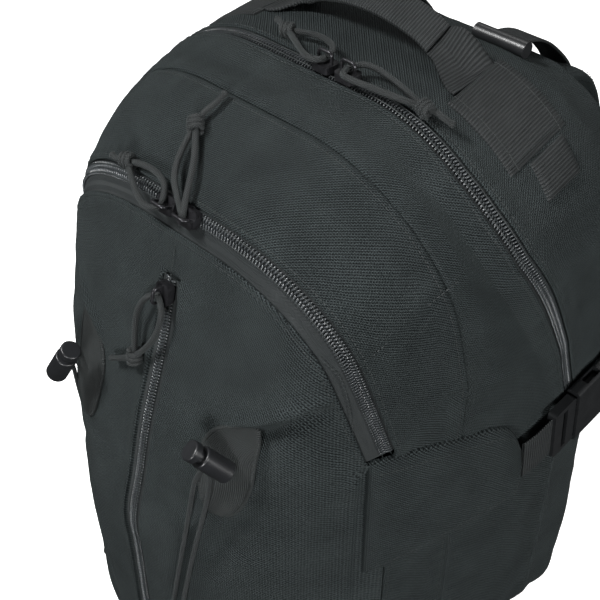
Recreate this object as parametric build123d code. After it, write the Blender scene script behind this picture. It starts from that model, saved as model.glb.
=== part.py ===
"""Trauma backpack: a sewn three-day pack with zips, straps, buckles and cord locks.

Millimetres, +Z up, wearer's back towards +Y, pocket face towards -Y.
The origin is on the floor, in the middle of the width, where the bottom sheet rests.
"""
from build123d import *
import math
import os

# ---------------------------------------------------------------- driving dimensions
WALL = 3.0  # padded fabric wall
BASE_THICKNESS = 2.5  # reinforced bottom sheet

# Upright slices through the stuffed body: depth, half width, how far the contents push the left
# side out, bottom, top, top and bottom radius
BODY_SLICES = [
    (104, 148, 0, 2.5, 478, 80, 34),
    (60, 166, 0, 2.5, 493, 105, 40),
    (0, 168, 0, 2.5, 495, 112, 44),
    (-45, 160, 0.4, 2.5, 495, 112, 44),
    (-90, 143, 2.6, 2.5, 488, 100, 44),
    (-128, 124, 8, 4, 466, 86, 44),
    (-148, 110, 13, 8, 444, 78, 44),
    (-165, 97, 16, 12, 389, 70, 44),
    (-181, 83, 17, 18, 335, 62, 42),
    (-196, 64, 17, 28, 291, 50, 36),
    (-208, 42, 14, 44, 245, 34, 28),
    (-215, 22, 8, 76, 192, 18, 18),
]

# Seams seen from the side: (depth, height) from the crown down to where the seam turns upright
MAIN_ZIP_SEAM = ((-42, 492), (-41, 471), (-36, 451), (-26, 423), (-7, 388), (26, 328), (46, 278))
ARCH_SEAM = ((-91, 490), (-60, 340))
FRONT_ZIP_SEAM = ((-150, 445), (-107, 290))

ZIP_TAPE_WIDTH = 26.0
ZIP_TAPE_THICKNESS = 2.0
CENTRE_ZIP_WIDTH = 18.0
CENTRE_ZIP_TOP = 398.0
CENTRE_ZIP_BOTTOM = 60.0

SLIDER_LENGTH = 15.0
SLIDER_WIDTH = 12.0
SLIDER_HEIGHT = 5.0
SLIDER_LIFT = 1.0  # gap between the tape and the slider's underside
SLIDER_GAP = 2.0  # half the gap between two parked sliders
BAIL_WIRE = 2.2
BAIL_HEIGHT = 7.2
BAIL_INSET = 2.2  # from the slider's end to the middle of the wire

CORD_DIAMETER = 4.0
KNOT_DIAMETER = 10.5
SHOCK_CORD_DIAMETER = 3.2

WEBBING_THICKNESS = 1.8
STRAP_WEBBING_WIDTH = 25.0
HANDLE_WEBBING_WIDTH = 24.0
HANDLE_END_WIDTH = 42.0
BUCKLE_REACH = 1.45  # length of a small buckle's socket, as a share of its webbing's width

COMPRESSION_Y = 42.0
COMPRESSION_Z = 256.0
COMPRESSION_X = 176.0
COMPRESSION_SLOPE = 8.0  # degrees, the strap runs up towards the back
COMPRESSION_WIDTH = 38.0
COMPRESSION_SOCKET = 46.0
COMPRESSION_WEBBING = 29.0
# Side wing seen from the side: (depth, height) round its edge
WING_OUTLINE = [(-121, 300), (-89, 300), (-62, 297), (-39, 294), (-26, 288), (-19, 280), (0, 221), (-3, 211),
                (-14, 208), (-37, 206), (-67, 199), (-95, 191), (-121, 186)]

LOCK_BUTTON_AT = (63.0, -210.0, 328.5)
LOCK_AXIS = (-0.376, -0.54, 0.753)
LEFT_LOCK_BUTTON_AT = (-58.0, -208.0, 330.0)
LEFT_LOCK_AXIS = (0.49, 0.15, 0.859)
LOCK_RADIUS = 7.5
LOCK_BODY_LENGTH = 24.0
LOCK_BUTTON_RADIUS = 7.0
LOCK_TRAVEL = 4.0

# Where the sliders are parked
MAIN_ZIP_X = 20.0
MAIN_ZIP_Y = -42.0
FRONT_ZIP_Y = -149.5
CENTRE_SLIDER_Z = 389.0

# Shoulder straps: routes are (depth, height) seen from the side
STRAP_ROOT_X = 62.0
STRAP_ROOT_Z = 458.0
STRAP_SPLAY = 7.0  # degrees, the straps spread apart downwards
STRAP_WIDTH = 64.0
STRAP_THICKNESS = 13.0
SHOULDER_ROUTE = [(104, 458), (114, 458), (130, 451), (142, 432), (149, 400), (151, 360), (150, 310),
                  (145, 260), (139, 218)]
LOWER_WEBBING_ROUTE = [(138, 196), (135, 175), (127, 150), (117, 132), (109, 124), (104, 124)]
BACK_FACE = 104.0
STERNUM_Z = 358.0
STERNUM_Y = 160.0

# Load lifters
LIFTER_X = 61.0
LIFTER_ROLLER_Y = 68.0
LIFTER_ROLLER_Z = 496.0
LIFTER_ROLLER_RADIUS = 5.5
LIFTER_ROLLER_LENGTH = 40.0

# Waist belt, folded on the back
BELT_HINGE_X = 128.0
BELT_HINGE_Y = 123.0
BELT_LOW = 28.0
BELT_HIGH = 106.0
BELT_THICKNESS = 11.0
BELT_END_X = 52.0

# Grab handle: routes are (width, height) seen from the front
HANDLE_Y = 16.0
HANDLE_ROUTE = [(-50, 511), (-40, 516), (-20, 520.5), (0, 522), (20, 520.5), (40, 516), (50, 511)]
HANDLE_END_ROUTE = [(53, 509.4), (61, 504.4), (68, 499.4), (76, 497)]
PATCH_TURN = 7.7  # degrees, the patches splay with the crown

# Each pull: its two strands from the bail to the knot, then the cut tail
MAIN_RIGHT_PULL = (
    [(29.5, -41.8, 505.6), (30.5, -34, 506), (38, -30, 506), (52, -31, 504.5), (68, -33, 502), (85, -37, 499.5)],
    [(29.5, -41.8, 505.6), (30.5, -50, 506), (38, -52, 506), (52, -48, 504.5), (68, -43, 502), (85, -37, 499.5)],
    [(85, -37, 499.5), (91, -34, 498.5), (97, -33.5, 496), (102, -30.5, 492.5)],
)
MAIN_LEFT_PULL = (
    [(10.5, -41.8, 505.6), (9.5, -34, 506), (2, -27, 506), (-10, -22, 504.5), (-23, -22, 503), (-37, -27, 502)],
    [(10.5, -41.8, 505.6), (9.5, -50, 506), (0, -49, 506), (-12, -42, 504.5), (-24, -34.5, 503), (-37, -27, 502)],
    [(-37, -27, 502), (-44, -25.5, 502), (-50, -21, 501), (-56, -18, 500)],
)
FRONT_LEFT_PULL = (
    [(-9.5, -159.3, 446.2), (-11, -153, 453.5), (-22, -149, 456), (-36, -147, 455.6), (-52, -150, 453.2)],
    [(-9.5, -159.3, 446.2), (-12.5, -164, 443.2), (-22.5, -164.5, 443.5), (-38, -158.5, 447.5), (-52, -150, 453.2)],
    [(-52, -150, 453.2), (-58, -148.8, 451.2), (-64, -150, 448.5), (-70, -149, 449)],
)
FRONT_RIGHT_PULL = (
    [(9.5, -159.3, 446.2), (5, -152, 455), (0, -143, 463), (-8, -132, 471), (-20, -121, 480)],
    [(9.5, -159.3, 446.2), (2, -155.5, 453.5), (-9, -149.5, 459.5), (-17, -138, 467), (-20, -121, 480)],
    [(-20, -121, 480), (-21, -113, 485), (-18, -105, 489), (-19, -97, 492)],
)
CENTRE_PULL = (
    [(0, -175.7, 391.6), (-8, -176, 388), (-17, -178.5, 376), (-20, -182, 360), (-16, -187.5, 338)],
    [(0, -175.7, 391.6), (5, -177, 386), (5.5, -181, 372), (-1, -184.5, 356), (-16, -187.5, 338)],
    [(-16, -187.5, 338), (-23, -190, 334), (-30, -190.5, 329), (-37, -192, 326)],
)

# Elastic cord from each lock down round its anchor and back up
SHOCK_CORD_RIGHT = [
    (65.2, -201, 306.3), (58.5, -203.5, 297), (54.5, -205, 275), (49.5, -208.5, 240), (44, -213, 200),
    (37, -216, 158), (28.5, -218, 118), (19.5, -219, 84), (12.5, -217, 62), (13, -214.3, 50),
    (24, -214.3, 50), (26.5, -217, 62), (31, -218.5, 84), (36.5, -217, 116), (44, -214.5, 155),
    (51, -211, 197), (57.5, -206, 236), (62.5, -200.5, 268), (65.5, -199, 288), (67.6, -199.2, 301.5),
]
SHOCK_CORD_LEFT = [
    (-76.9, -205, 308.8), (-83.5, -199.5, 304.5), (-90, -193, 293), (-95.5, -187.5, 276),
    (-100.9, -184, 255), (-105.1, -179.7, 225), (-107.1, -177.3, 190), (-107.1, -177.3, 150),
    (-105.1, -179.7, 112), (-101, -184, 84), (-97.9, -187, 66), (-98.4, -185.7, 51.6),
    (-109.7, -173.8, 51.7), (-112.2, -170.9, 66), (-115.3, -166.6, 86), (-118.3, -162.3, 114),
    (-119.4, -160.7, 150), (-119.4, -160.7, 190), (-116.3, -165.2, 225), (-110.2, -173.5, 255),
    (-104.5, -181.5, 279), (-93, -189.5, 301), (-81.5, -196.5, 313), (-73.5, -203.9, 314.8),
]
# Anchor loops, seen from the side: the right one in place, the left one from its spot on the skin
RIGHT_ANCHOR_ROUTE = [(-216.4, 63), (-218.4, 57), (-218.8, 50), (-215.6, 44), (-206.9, 39.2)]
LEFT_ANCHOR_ROUTE = [(-1.3, 63), (-4.5, 57), (-6.3, 50), (-3.4, 44), (1.5, 39.2)]
LEFT_ANCHOR_AT = (-102.0, -178.9)
LEFT_ANCHOR_TURN = -47.0  # degrees, it faces the way the skin does there

REACH = 260.0  # half width of cutting blocks, wider than the pack


# ---------------------------------------------------------------- helpers
def save(name, shape):
    """Write one named piece to its own STEP file."""
    shape.label = name
    export_step(shape, f"parts/{name}.step")


def body_slice(depth, half_width, bulge, low, high, top_radius, bottom_radius):
    """One upright slice of the stuffed body, pushed out on the left below its shoulder."""
    outline = Pos(-bulge / 2, 0) * Rectangle(2 * half_width + bulge, high - low)
    outline = fillet(outline.vertices().group_by(Axis.Y)[-1].sort_by(Axis.X)[-1], top_radius)
    outline = fillet(outline.vertices().group_by(Axis.Y)[-1].sort_by(Axis.X)[0], top_radius + bulge)
    outline = fillet(outline.vertices().group_by(Axis.Y)[0], bottom_radius)
    return Plane(origin=(0, depth, (low + high) / 2), x_dir=(1, 0, 0), z_dir=(0, -1, 0)) * outline


def body_hull(grow):
    """The stuffed outer form, grown outwards (or inwards) by grow millimetres."""
    slices = []
    last = len(BODY_SLICES) - 1
    for index, (depth, half_width, bulge, bottom, top, top_radius, bottom_radius) in enumerate(BODY_SLICES):
        if index == 0:
            depth = depth + grow
        if index == last:
            depth = depth - grow
        low = bottom - min(grow, 0)
        slices.append(body_slice(depth, half_width + grow, bulge, low, top + grow,
                                 top_radius + grow, bottom_radius + grow))
    floor = BASE_THICKNESS - min(grow, 0)
    above_floor = Pos(0, 0, floor + 400) * Box(2 * REACH, 3 * REACH, 800)
    return loft(slices) & above_floor


def seam_line(seam, shift=0.0):
    """Side view of a seam: carried on above the crown, down its bends, then upright."""
    (crown_y, crown_z), (next_y, next_z) = seam[:2]
    slant = (next_y - crown_y) / (crown_z - next_z)
    above = 620.0
    start = (crown_y - slant * (above - crown_z) + shift, above)
    bends = [(y + shift, z) for y, z in seam[1:]]
    return [start] + bends + [(bends[-1][0], -40.0)]


def side_prism(points):
    """A block whose side view is the polygon of (y, z) points."""
    wire = Polyline(*[(0, y, z) for y, z in points], close=True)
    return extrude(make_face(wire), amount=REACH, dir=(1, 0, 0), both=True)


def between(back_line, front_line):
    """The block between two seam lines."""
    return side_prism(back_line + front_line[::-1])


def skin_front(x, z, lift=0.0):
    """Point and outward direction on the pocket face at (x, z), lifted off the skin."""
    hits = OUTER.find_intersection_points(Axis((x, -500, z), (0, 1, 0)))
    point, normal = min(hits, key=lambda hit: hit[0].Y)
    return point + normal * lift, normal


def skin_top(x, y, lift=0.0):
    """Point and outward direction on the top at (x, y), lifted off the skin."""
    hits = OUTER.find_intersection_points(Axis((x, y, 700), (0, 0, -1)))
    point, normal = max(hits, key=lambda hit: hit[0].Z)
    return point + normal * lift, normal


def mirrored(shape):
    """The same piece on the wearer's other side."""
    return mirror(shape, about=Plane.YZ)


def pair(shape):
    """A left and right copy of one piece, kept as two solids."""
    return Compound(children=[shape, mirrored(shape)])


def sewn_pair(layer, block):
    """The parts of a layer over the skin inside a block and inside its mirror image."""
    return Compound(children=[layer & block, layer & mirrored(block)])


def corner_radii(points):
    """Radius at each corner of a cord's route: 0.45 of the shorter run over tan(half turn)."""
    radii = []
    for before, corner, after in zip(points, points[1:], points[2:]):
        run_in = Vector(*corner) - Vector(*before)
        run_out = Vector(*after) - Vector(*corner)
        half_turn = math.radians(run_in.get_angle(run_out)) / 2
        shorter = min(run_in.length, run_out.length)
        radii.append(0.45 * shorter / math.tan(half_turn))
    return radii


def cord_tube(name, points, diameter):
    """A cord's tube along straight runs joined by tangent arcs."""
    radii = corner_radii(points)
    path = FilletPolyline(*points, radius=radii)
    start = Vector(*points[1]) - Vector(*points[0])
    section = Plane(origin=points[0], z_dir=tuple(start)) * Circle(diameter / 2)
    tube = sweep(section, path=path)
    expected = math.pi * (diameter / 2) ** 2 * path.length
    smallest = min(radii)
    print(f"{name}: length {path.length:.1f}, smallest radius {smallest:.1f}, "
          f"volume {tube.volume:.0f} of {expected:.0f}")
    return tube


def band(points, thickness):
    """Closed side-view outline of a strip of the given thickness along (y, z) points."""
    upper = []
    lower = []
    for index, (y, z) in enumerate(points):
        before = points[max(index - 1, 0)]
        after = points[min(index + 1, len(points) - 1)]
        run = math.hypot(after[0] - before[0], after[1] - before[1])
        normal_y = -(after[1] - before[1]) / run
        normal_z = (after[0] - before[0]) / run
        upper.append((y + normal_y * thickness / 2, z + normal_z * thickness / 2))
        lower.append((y - normal_y * thickness / 2, z - normal_z * thickness / 2))
    return upper + lower[::-1]


def strip_along(points, width, thickness):
    """A strap along a side-view route of (y, z) points, centred on x = 0."""
    outline = Polyline(*[(0, y, z) for y, z in band(points, thickness)], close=True)
    return extrude(make_face(outline), amount=width / 2, dir=(1, 0, 0), both=True)


# ---------------------------------------------------------------- sewn body
def sewn_shells():
    """Rear compartment, gusset, middle panel and front pocket, split along their seams."""
    skin = OUTER - body_hull(-WALL)
    main_line = seam_line(MAIN_ZIP_SEAM)
    arch_line = seam_line(ARCH_SEAM)
    pocket_line = seam_line(FRONT_ZIP_SEAM)
    far_back = [(REACH, 620), (REACH, -40)]
    far_front = [(-REACH, 620), (-REACH, -40)]
    divider = body_hull(-WALL) & between(seam_line(FRONT_ZIP_SEAM, WALL), pocket_line)
    save("rear_compartment", skin & between(far_back, main_line))
    save("front_gusset", skin & between(main_line, arch_line))
    save("middle_panel", (skin & between(arch_line, pocket_line)) + divider)
    save("front_pocket", skin & between(pocket_line, far_front))


def base_panel():
    """Reinforced bottom sheet that the pack stands on."""
    outline = RectangleRounded(226, 222, 36)
    return Pos(0, -10, 0) * extrude(outline, amount=BASE_THICKNESS)


def skin_layer(inner, outer):
    """A closed layer over the whole body between two heights above the skin."""
    return body_hull(outer) - body_hull(inner)


def seam_tape(seam, end_z):
    """Zip tape with its closed coil, lying on the skin along a seam down to end_z."""
    half = ZIP_TAPE_WIDTH / 2
    line_band = between(seam_line(seam, half), seam_line(seam, -half))
    above_end = Pos(0, 0, end_z + 300) * Box(2 * REACH, 3 * REACH, 600)
    return skin_layer(0, ZIP_TAPE_THICKNESS) & line_band & above_end


def centre_tape():
    """Upright zip tape down the middle of the pocket face."""
    raised = skin_layer(0, ZIP_TAPE_THICKNESS)
    height = CENTRE_ZIP_TOP - CENTRE_ZIP_BOTTOM
    middle = (CENTRE_ZIP_TOP + CENTRE_ZIP_BOTTOM) / 2
    return raised & (Pos(0, -200, middle) * Box(CENTRE_ZIP_WIDTH, 140, height))


# ---------------------------------------------------------------- zip sliders and their cords
def slider(plane):
    """Zip slider with its bail, in the plane's own X (travel), Y (across) and Z (outwards)."""
    body = Pos(0, 0, SLIDER_LIFT) * extrude(
        RectangleRounded(SLIDER_LENGTH, SLIDER_WIDTH, 3.5), amount=SLIDER_HEIGHT)
    top = SLIDER_LIFT + SLIDER_HEIGHT
    reach = SLIDER_LENGTH / 2 - BAIL_INSET
    arch = FilletPolyline(
        (-reach, 0, top - 1), (-reach, 0, top + BAIL_HEIGHT),
        (reach, 0, top + BAIL_HEIGHT), (reach, 0, top - 1), radius=2.5)
    wire = sweep(Plane(origin=(-reach, 0, top - 1), z_dir=(0, 0, 1)) * Circle(BAIL_WIRE / 2), path=arch)
    return plane * (body + wire)


def slider_plane(point, normal, travel):
    """Frame of a slider that lies on the zip tape at a point of the skin."""
    on_tape = point + normal * ZIP_TAPE_THICKNESS
    return Plane(origin=tuple(on_tape), x_dir=travel, z_dir=tuple(normal))


def pull_cord(name, strands, tail):
    """A pull cord: two strands from the bail to the knot, the knot, and the cut tail."""
    tubes = [cord_tube(f"{name} strand", strand, CORD_DIAMETER) for strand in strands]
    knot = Pos(*strands[0][-1]) * Sphere(KNOT_DIAMETER / 2)
    end = cord_tube(f"{name} tail", tail, CORD_DIAMETER)
    return tubes[0] + tubes[1] + knot + end


def zip_sliders():
    """All five zip sliders, each parked on its tape, with its cord."""
    parked = SLIDER_GAP + SLIDER_LENGTH / 2
    for side, sign in (("left", -1), ("right", 1)):
        point, normal = skin_top(MAIN_ZIP_X + sign * parked, MAIN_ZIP_Y)
        save(f"main_zip_slider_{side}", slider(slider_plane(point, normal, (1, 0, 0))))
        point, normal = skin_top(sign * parked, FRONT_ZIP_Y)
        save(f"front_zip_slider_{side}", slider(slider_plane(point, normal, (1, 0, 0))))
    point, normal = skin_front(0, CENTRE_SLIDER_Z)
    save("centre_zip_slider", slider(slider_plane(point, normal, (0, -0.3, -0.95))))
    pulls = {
        "main_zip_pull_left": MAIN_LEFT_PULL,
        "main_zip_pull_right": MAIN_RIGHT_PULL,
        "front_zip_pull_left": FRONT_LEFT_PULL,
        "front_zip_pull_right": FRONT_RIGHT_PULL,
        "centre_zip_pull": CENTRE_PULL,
    }
    for name, (strand_one, strand_two, tail) in pulls.items():
        save(name, pull_cord(name, (strand_one, strand_two), tail))


# ---------------------------------------------------------------- buckles
def buckle_female(webbing, length):
    """Socket half of a side-release buckle: mouth at x = 1, webbing bar at the far end."""
    width = 1.36 * webbing
    shell = Pos(1 + length / 2, 0, 0) * Box(length, 10.5, width)
    shell = fillet(shell.edges().filter_by(Axis.X), 3.2)
    cavity = Pos(0.345 * length, 0, 0) * Box(0.69 * length, 6.4, 1.12 * webbing)
    windows = Pos(1 + 0.43 * length, 0, 0) * Box(0.345 * length, 6.4, 2 * width)
    slot = Pos(length - 4.5, 0, 0) * Box(3.6, 30, 1.06 * webbing)
    return shell - cavity - windows - slot


def buckle_male(webbing, length):
    """Plug half of a side-release buckle: arms point along +X, webbing bar at the front."""
    frame_length = 0.52 * length
    frame = Pos(-frame_length / 2, 0, 0) * Box(frame_length, 7, 1.24 * webbing)
    frame = fillet(frame.edges().filter_by(Axis.Y), 3)
    slot = Pos(-0.5 * frame_length, 0, 0) * Box(5, 30, 1.02 * webbing)
    arm_length = 0.62 * length
    arm_offset = 0.44 * webbing
    arm = Pos(arm_length / 2 - 1, 0, arm_offset) * Box(arm_length + 2, 5.2, 0.16 * webbing)
    guide = Pos(0.24 * length - 1, 0, 0) * Box(0.48 * length + 2, 3.6, 0.16 * webbing)
    return (frame - slot) + arm + mirror(arm, about=Plane.XY) + guide


def side_plane():
    """Frame of the right side buckle: X towards the back, Z up across the webbing."""
    slope = math.radians(COMPRESSION_SLOPE)
    along = (0, math.cos(slope), math.sin(slope))
    upward = (0, -math.sin(slope), math.cos(slope))
    return Plane(origin=(COMPRESSION_X, COMPRESSION_Y, COMPRESSION_Z), x_dir=along, z_dir=upward)


def compression_set():
    """Side wings with the webbing and buckle that squeeze the pack from front to back."""
    outline = Polyline(*[(0, y, z) for y, z in WING_OUTLINE], close=True)
    side_block = extrude(make_face(outline), amount=REACH, dir=(1, 0, 0))
    save("compression_wings", sewn_pair(skin_layer(0.3, 3.2), side_block))
    plane = side_plane()
    male = plane * buckle_male(COMPRESSION_WIDTH, COMPRESSION_SOCKET)
    front_end = -0.52 * COMPRESSION_SOCKET
    webbing = plane * (Pos(front_end - COMPRESSION_WEBBING / 2, 0, 0)
                       * Box(COMPRESSION_WEBBING, WEBBING_THICKNESS, COMPRESSION_WIDTH))
    save("side_buckle_male_right", male)
    save("side_buckle_male_left", mirrored(male))
    save("compression_webbing_right", webbing)
    save("compression_webbing_left", mirrored(webbing))
    save("side_buckle_females", pair(plane * buckle_female(COMPRESSION_WIDTH, COMPRESSION_SOCKET)))
    save("rear_compression_straps", pair(rear_strap()))


def rear_strap():
    """Short strap from the socket half to the back seam, bent round the pack's corner."""
    start = 1 + COMPRESSION_SOCKET
    route = [(start + 0.3, COMPRESSION_X), (start + 4, COMPRESSION_X), (start + 9, 171), (start + 14, 162),
             (start + 18, 150.5)]
    outline = Polyline(*[(x, y, 0) for y, x in band(route, WEBBING_THICKNESS)], close=True)
    strap = extrude(make_face(outline), amount=COMPRESSION_WIDTH / 2, dir=(0, 0, 1), both=True)
    return Pos(0, COMPRESSION_Y, COMPRESSION_Z) * Rot(COMPRESSION_SLOPE, 0, 0) * strap


# ---------------------------------------------------------------- harness on the wearer's side

def splayed(shape):
    """Turn a piece built at x = 0 into the right shoulder strap's splayed position."""
    at_root = Pos(STRAP_ROOT_X, 0, STRAP_ROOT_Z)
    return at_root * Rot(0, -STRAP_SPLAY, 0) * Pos(0, 0, -STRAP_ROOT_Z) * shape


def ladder_lock():
    """Plastic strap adjuster at the padded strap's lower end."""
    frame = Pos(0, 138.5, 207) * Box(34, 6, 20)
    window = Pos(0, 138.5, 207) * Box(27, 30, 12)
    bar = Pos(0, 138.5, 207) * Box(34, 4, 3.4)
    return (frame - window) + bar


def harness():
    """Shoulder straps with their adjusters, lower webbing and sternum strap."""
    strap = splayed(strip_along(SHOULDER_ROUTE, STRAP_WIDTH, STRAP_THICKNESS))
    save("shoulder_strap_right", strap)
    save("shoulder_strap_left", mirrored(strap))
    save("strap_adjusters", pair(splayed(ladder_lock())))
    webbing = strip_along(LOWER_WEBBING_ROUTE, STRAP_WEBBING_WIDTH, WEBBING_THICKNESS)
    save("lower_strap_webbing", pair(splayed(webbing)))


def sternum_strap():
    """Chest strap between the shoulder straps, with its small side-release buckle."""
    width = 20.0
    plane = Plane(origin=(2, STERNUM_Y + 2, STERNUM_Z), x_dir=(-1, 0, 0), z_dir=(0, 0, 1))
    length = BUCKLE_REACH * width
    save("sternum_buckle_male", plane * buckle_male(width, length))
    save("sternum_buckle_female", plane * buckle_female(width, length))
    male_end = 2 + 0.52 * length
    female_end = -(length - 1)
    webbing_right = Pos(male_end + 20, STERNUM_Y - 0.3, STERNUM_Z) * Box(40, WEBBING_THICKNESS, width)
    webbing_left = Pos(female_end - 20, STERNUM_Y - 0.3, STERNUM_Z) * Box(40, WEBBING_THICKNESS, width)
    save("sternum_webbing_right", webbing_right)
    save("sternum_webbing_left", webbing_left)


def load_lifters():
    """Rollers on the top edge and the webbing from them to the shoulder straps."""
    roller = Pos(LIFTER_X, LIFTER_ROLLER_Y, LIFTER_ROLLER_Z) * Rot(0, 90, 0) * Cylinder(
        LIFTER_ROLLER_RADIUS, LIFTER_ROLLER_LENGTH)
    save("load_lifter_rollers", pair(roller))
    start = LIFTER_ROLLER_Y + LIFTER_ROLLER_RADIUS
    route = [(start + 0.2, LIFTER_ROLLER_Z), (92, 491.5), (107, 484), (121, 473), (134, 460.5), (144, 446.5),
             (149, 438.5)]
    webbing = Pos(LIFTER_X, 0, 0) * strip_along(route, STRAP_WEBBING_WIDTH, WEBBING_THICKNESS)
    save("load_lifter_webbing", pair(webbing))


def waist_belt():
    """Padded belt wings folded over the back, each with its webbing and open buckle half."""
    middle_z = (BELT_LOW + BELT_HIGH) / 2
    height = BELT_HIGH - BELT_LOW
    length = BELT_HINGE_X - BELT_END_X
    pad = Pos(BELT_END_X + length / 2, BELT_HINGE_Y, middle_z) * Box(length, BELT_THICKNESS, height)
    pad = fillet(pad.edges().filter_by(Axis.Y).group_by(Axis.X)[0], 24)
    root = Pos(BELT_HINGE_X, BELT_HINGE_Y, middle_z) * Cylinder(BELT_THICKNESS / 2, height)
    save("waist_wing_right", pad + root)
    save("waist_wing_left", mirrored(pad + root))
    anchor_depth = BELT_HINGE_Y - BELT_THICKNESS / 2 - 0.5 - BACK_FACE
    anchor = Pos(BELT_HINGE_X - 3, BACK_FACE + anchor_depth / 2, middle_z) * Box(10, anchor_depth, height - 8)
    save("belt_anchor_tabs", pair(anchor))
    socket_at = Plane(origin=(3, BELT_HINGE_Y, middle_z), x_dir=(1, 0, 0), z_dir=(0, 0, 1))
    plug_at = Plane(origin=(-23.5, BELT_HINGE_Y, middle_z), x_dir=(1, 0, 0), z_dir=(0, 0, 1))
    length = BUCKLE_REACH * STRAP_WEBBING_WIDTH
    save("waist_buckle_female", socket_at * buckle_female(STRAP_WEBBING_WIDTH, length))
    save("waist_buckle_male", plug_at * buckle_male(STRAP_WEBBING_WIDTH, length))
    socket_end = 4 + length
    plug_end = 23.5 + 0.52 * length
    save("waist_webbing_right", belt_webbing(socket_end, BELT_END_X, middle_z))
    save("waist_webbing_left", mirrored(belt_webbing(plug_end, BELT_END_X, middle_z)))


def belt_webbing(start, end, middle_z):
    """Short webbing between a belt wing and its buckle half."""
    strip = Box(end - start, WEBBING_THICKNESS, STRAP_WEBBING_WIDTH)
    return Pos((start + end) / 2, BELT_HINGE_Y, middle_z) * strip


def back_padding():
    """Foam pads on the wearer's side and the sheet behind them inside the pack."""
    upper = Pos(56, BACK_FACE + 6, 312) * Box(84, 12, 236)
    upper = fillet(upper.edges().filter_by(Axis.Y), 18)
    lumbar = Pos(0, BACK_FACE + 5, 150) * Box(166, 10, 62)
    lumbar = fillet(lumbar.edges().filter_by(Axis.Y), 18)
    save("back_pads", Compound(children=[upper, mirrored(upper), lumbar]))
    sheet = Pos(0, BACK_FACE - WALL - 1.6, 236) * Box(236, 2, 400)
    save("frame_sheet", fillet(sheet.edges().filter_by(Axis.Y), 40))
    sleeve = Pos(0, BACK_FACE - WALL - 12, 205) * Box(220, 1.5, 340)
    save("hydration_sleeve", sleeve)
    organiser = Pos(0, FRONT_ZIP_SEAM[1][0] - 4, 150) * Box(170, 1.5, 200)
    save("organiser_panel", organiser)


# ---------------------------------------------------------------- handle, patches and loops

def cross_strip(route, width, thickness):
    """A strap along a front-view route of (x, z) points, centred on y = 0."""
    outline = Polyline(*[(x, 0, z) for x, z in band(route, thickness)], close=True)
    return extrude(make_face(outline), amount=width / 2, dir=(0, 1, 0), both=True)


def handle_and_patches():
    """Grab handle, the stitched ends under the patches, and the small loops below them."""
    grip = Pos(0, HANDLE_Y, 0) * cross_strip(HANDLE_ROUTE, HANDLE_WEBBING_WIDTH, 4)
    save("grab_handle", grip)
    end = Pos(0, HANDLE_Y, 0) * cross_strip(HANDLE_END_ROUTE, HANDLE_END_WIDTH, 2.6)
    save("handle_ends", pair(end))
    patch_place = Pos(106, HANDLE_Y, 440) * Rot(0, 0, PATCH_TURN)
    save("webbing_patches", sewn_pair(skin_layer(0.2, 2.6), patch_place * Box(52, 60, 160)))
    loop_block = patch_place * Pos(35, 3, 0) * Box(17, 38, 160)
    save("loop_tabs", sewn_pair(skin_layer(0.4, 4.4), loop_block))


# ---------------------------------------------------------------- cord locks on the pocket
LOCK_PLANES = {
    "right": Plane(origin=LOCK_BUTTON_AT, z_dir=LOCK_AXIS),
    "left": Plane(origin=LEFT_LOCK_BUTTON_AT, z_dir=LEFT_LOCK_AXIS),
}


def cord_locks():
    """Tabs, barrels, sprung buttons and springs of the two cord locks."""
    cap = 5.0
    travel_gap = LOCK_TRAVEL + 0.5
    body_top = -(cap + travel_gap)
    bore_radius = 4.6
    bore_depth = 19.0
    stem_radius = 4.2
    stem_length = travel_gap + 9.0
    barrel = Pos(0, 0, body_top - LOCK_BODY_LENGTH / 2) * Cylinder(LOCK_RADIUS, LOCK_BODY_LENGTH)
    barrel = fillet(barrel.edges(), 1.2)
    barrel = barrel - Pos(0, 0, body_top - bore_depth / 2) * Cylinder(bore_radius, bore_depth)
    button = Pos(0, 0, -cap / 2) * Cylinder(LOCK_BUTTON_RADIUS, cap)
    button = fillet(button.edges().group_by(Axis.Z)[-1], 1.2)
    button = button + Pos(0, 0, -cap - stem_length / 2) * Cylinder(stem_radius, stem_length)
    bore_end = body_top - bore_depth
    spring_length = -cap - stem_length - bore_end - LOCK_TRAVEL - 0.4
    spring = Pos(0, 0, bore_end + spring_length / 2) * (
        Cylinder(3.8, spring_length) - Cylinder(2.8, spring_length))
    save("cord_lock_barrels", Compound(children=[plane * barrel for plane in LOCK_PLANES.values()]))
    for side, plane in LOCK_PLANES.items():
        save(f"cord_lock_button_{side}", plane * button)
        save(f"cord_lock_spring_{side}", plane * spring)
    tab_block = Pos(79, -200, 300) * Rot(90, 0, 0) * extrude(RectangleRounded(36, 74, 17), amount=90, both=True)
    save("cord_tabs", sewn_pair(skin_layer(0, 1.8), tab_block))


# ---------------------------------------------------------------- shock cord on the pocket

def shock_cords():
    """Elastic cord from each cord lock down to its anchor loop and back up."""
    save("shock_cord_right", cord_tube("shock cord right", SHOCK_CORD_RIGHT, SHOCK_CORD_DIAMETER))
    save("shock_cord_left", cord_tube("shock cord left", SHOCK_CORD_LEFT, SHOCK_CORD_DIAMETER))
    right = Pos(18.5, 0, 0) * strip_along(RIGHT_ANCHOR_ROUTE, 6, 1.6)
    left = Pos(*LEFT_ANCHOR_AT, 0) * Rot(0, 0, LEFT_ANCHOR_TURN) * strip_along(LEFT_ANCHOR_ROUTE, 6, 1.6)
    save("shock_cord_anchors", Compound(children=[right, left]))


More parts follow.
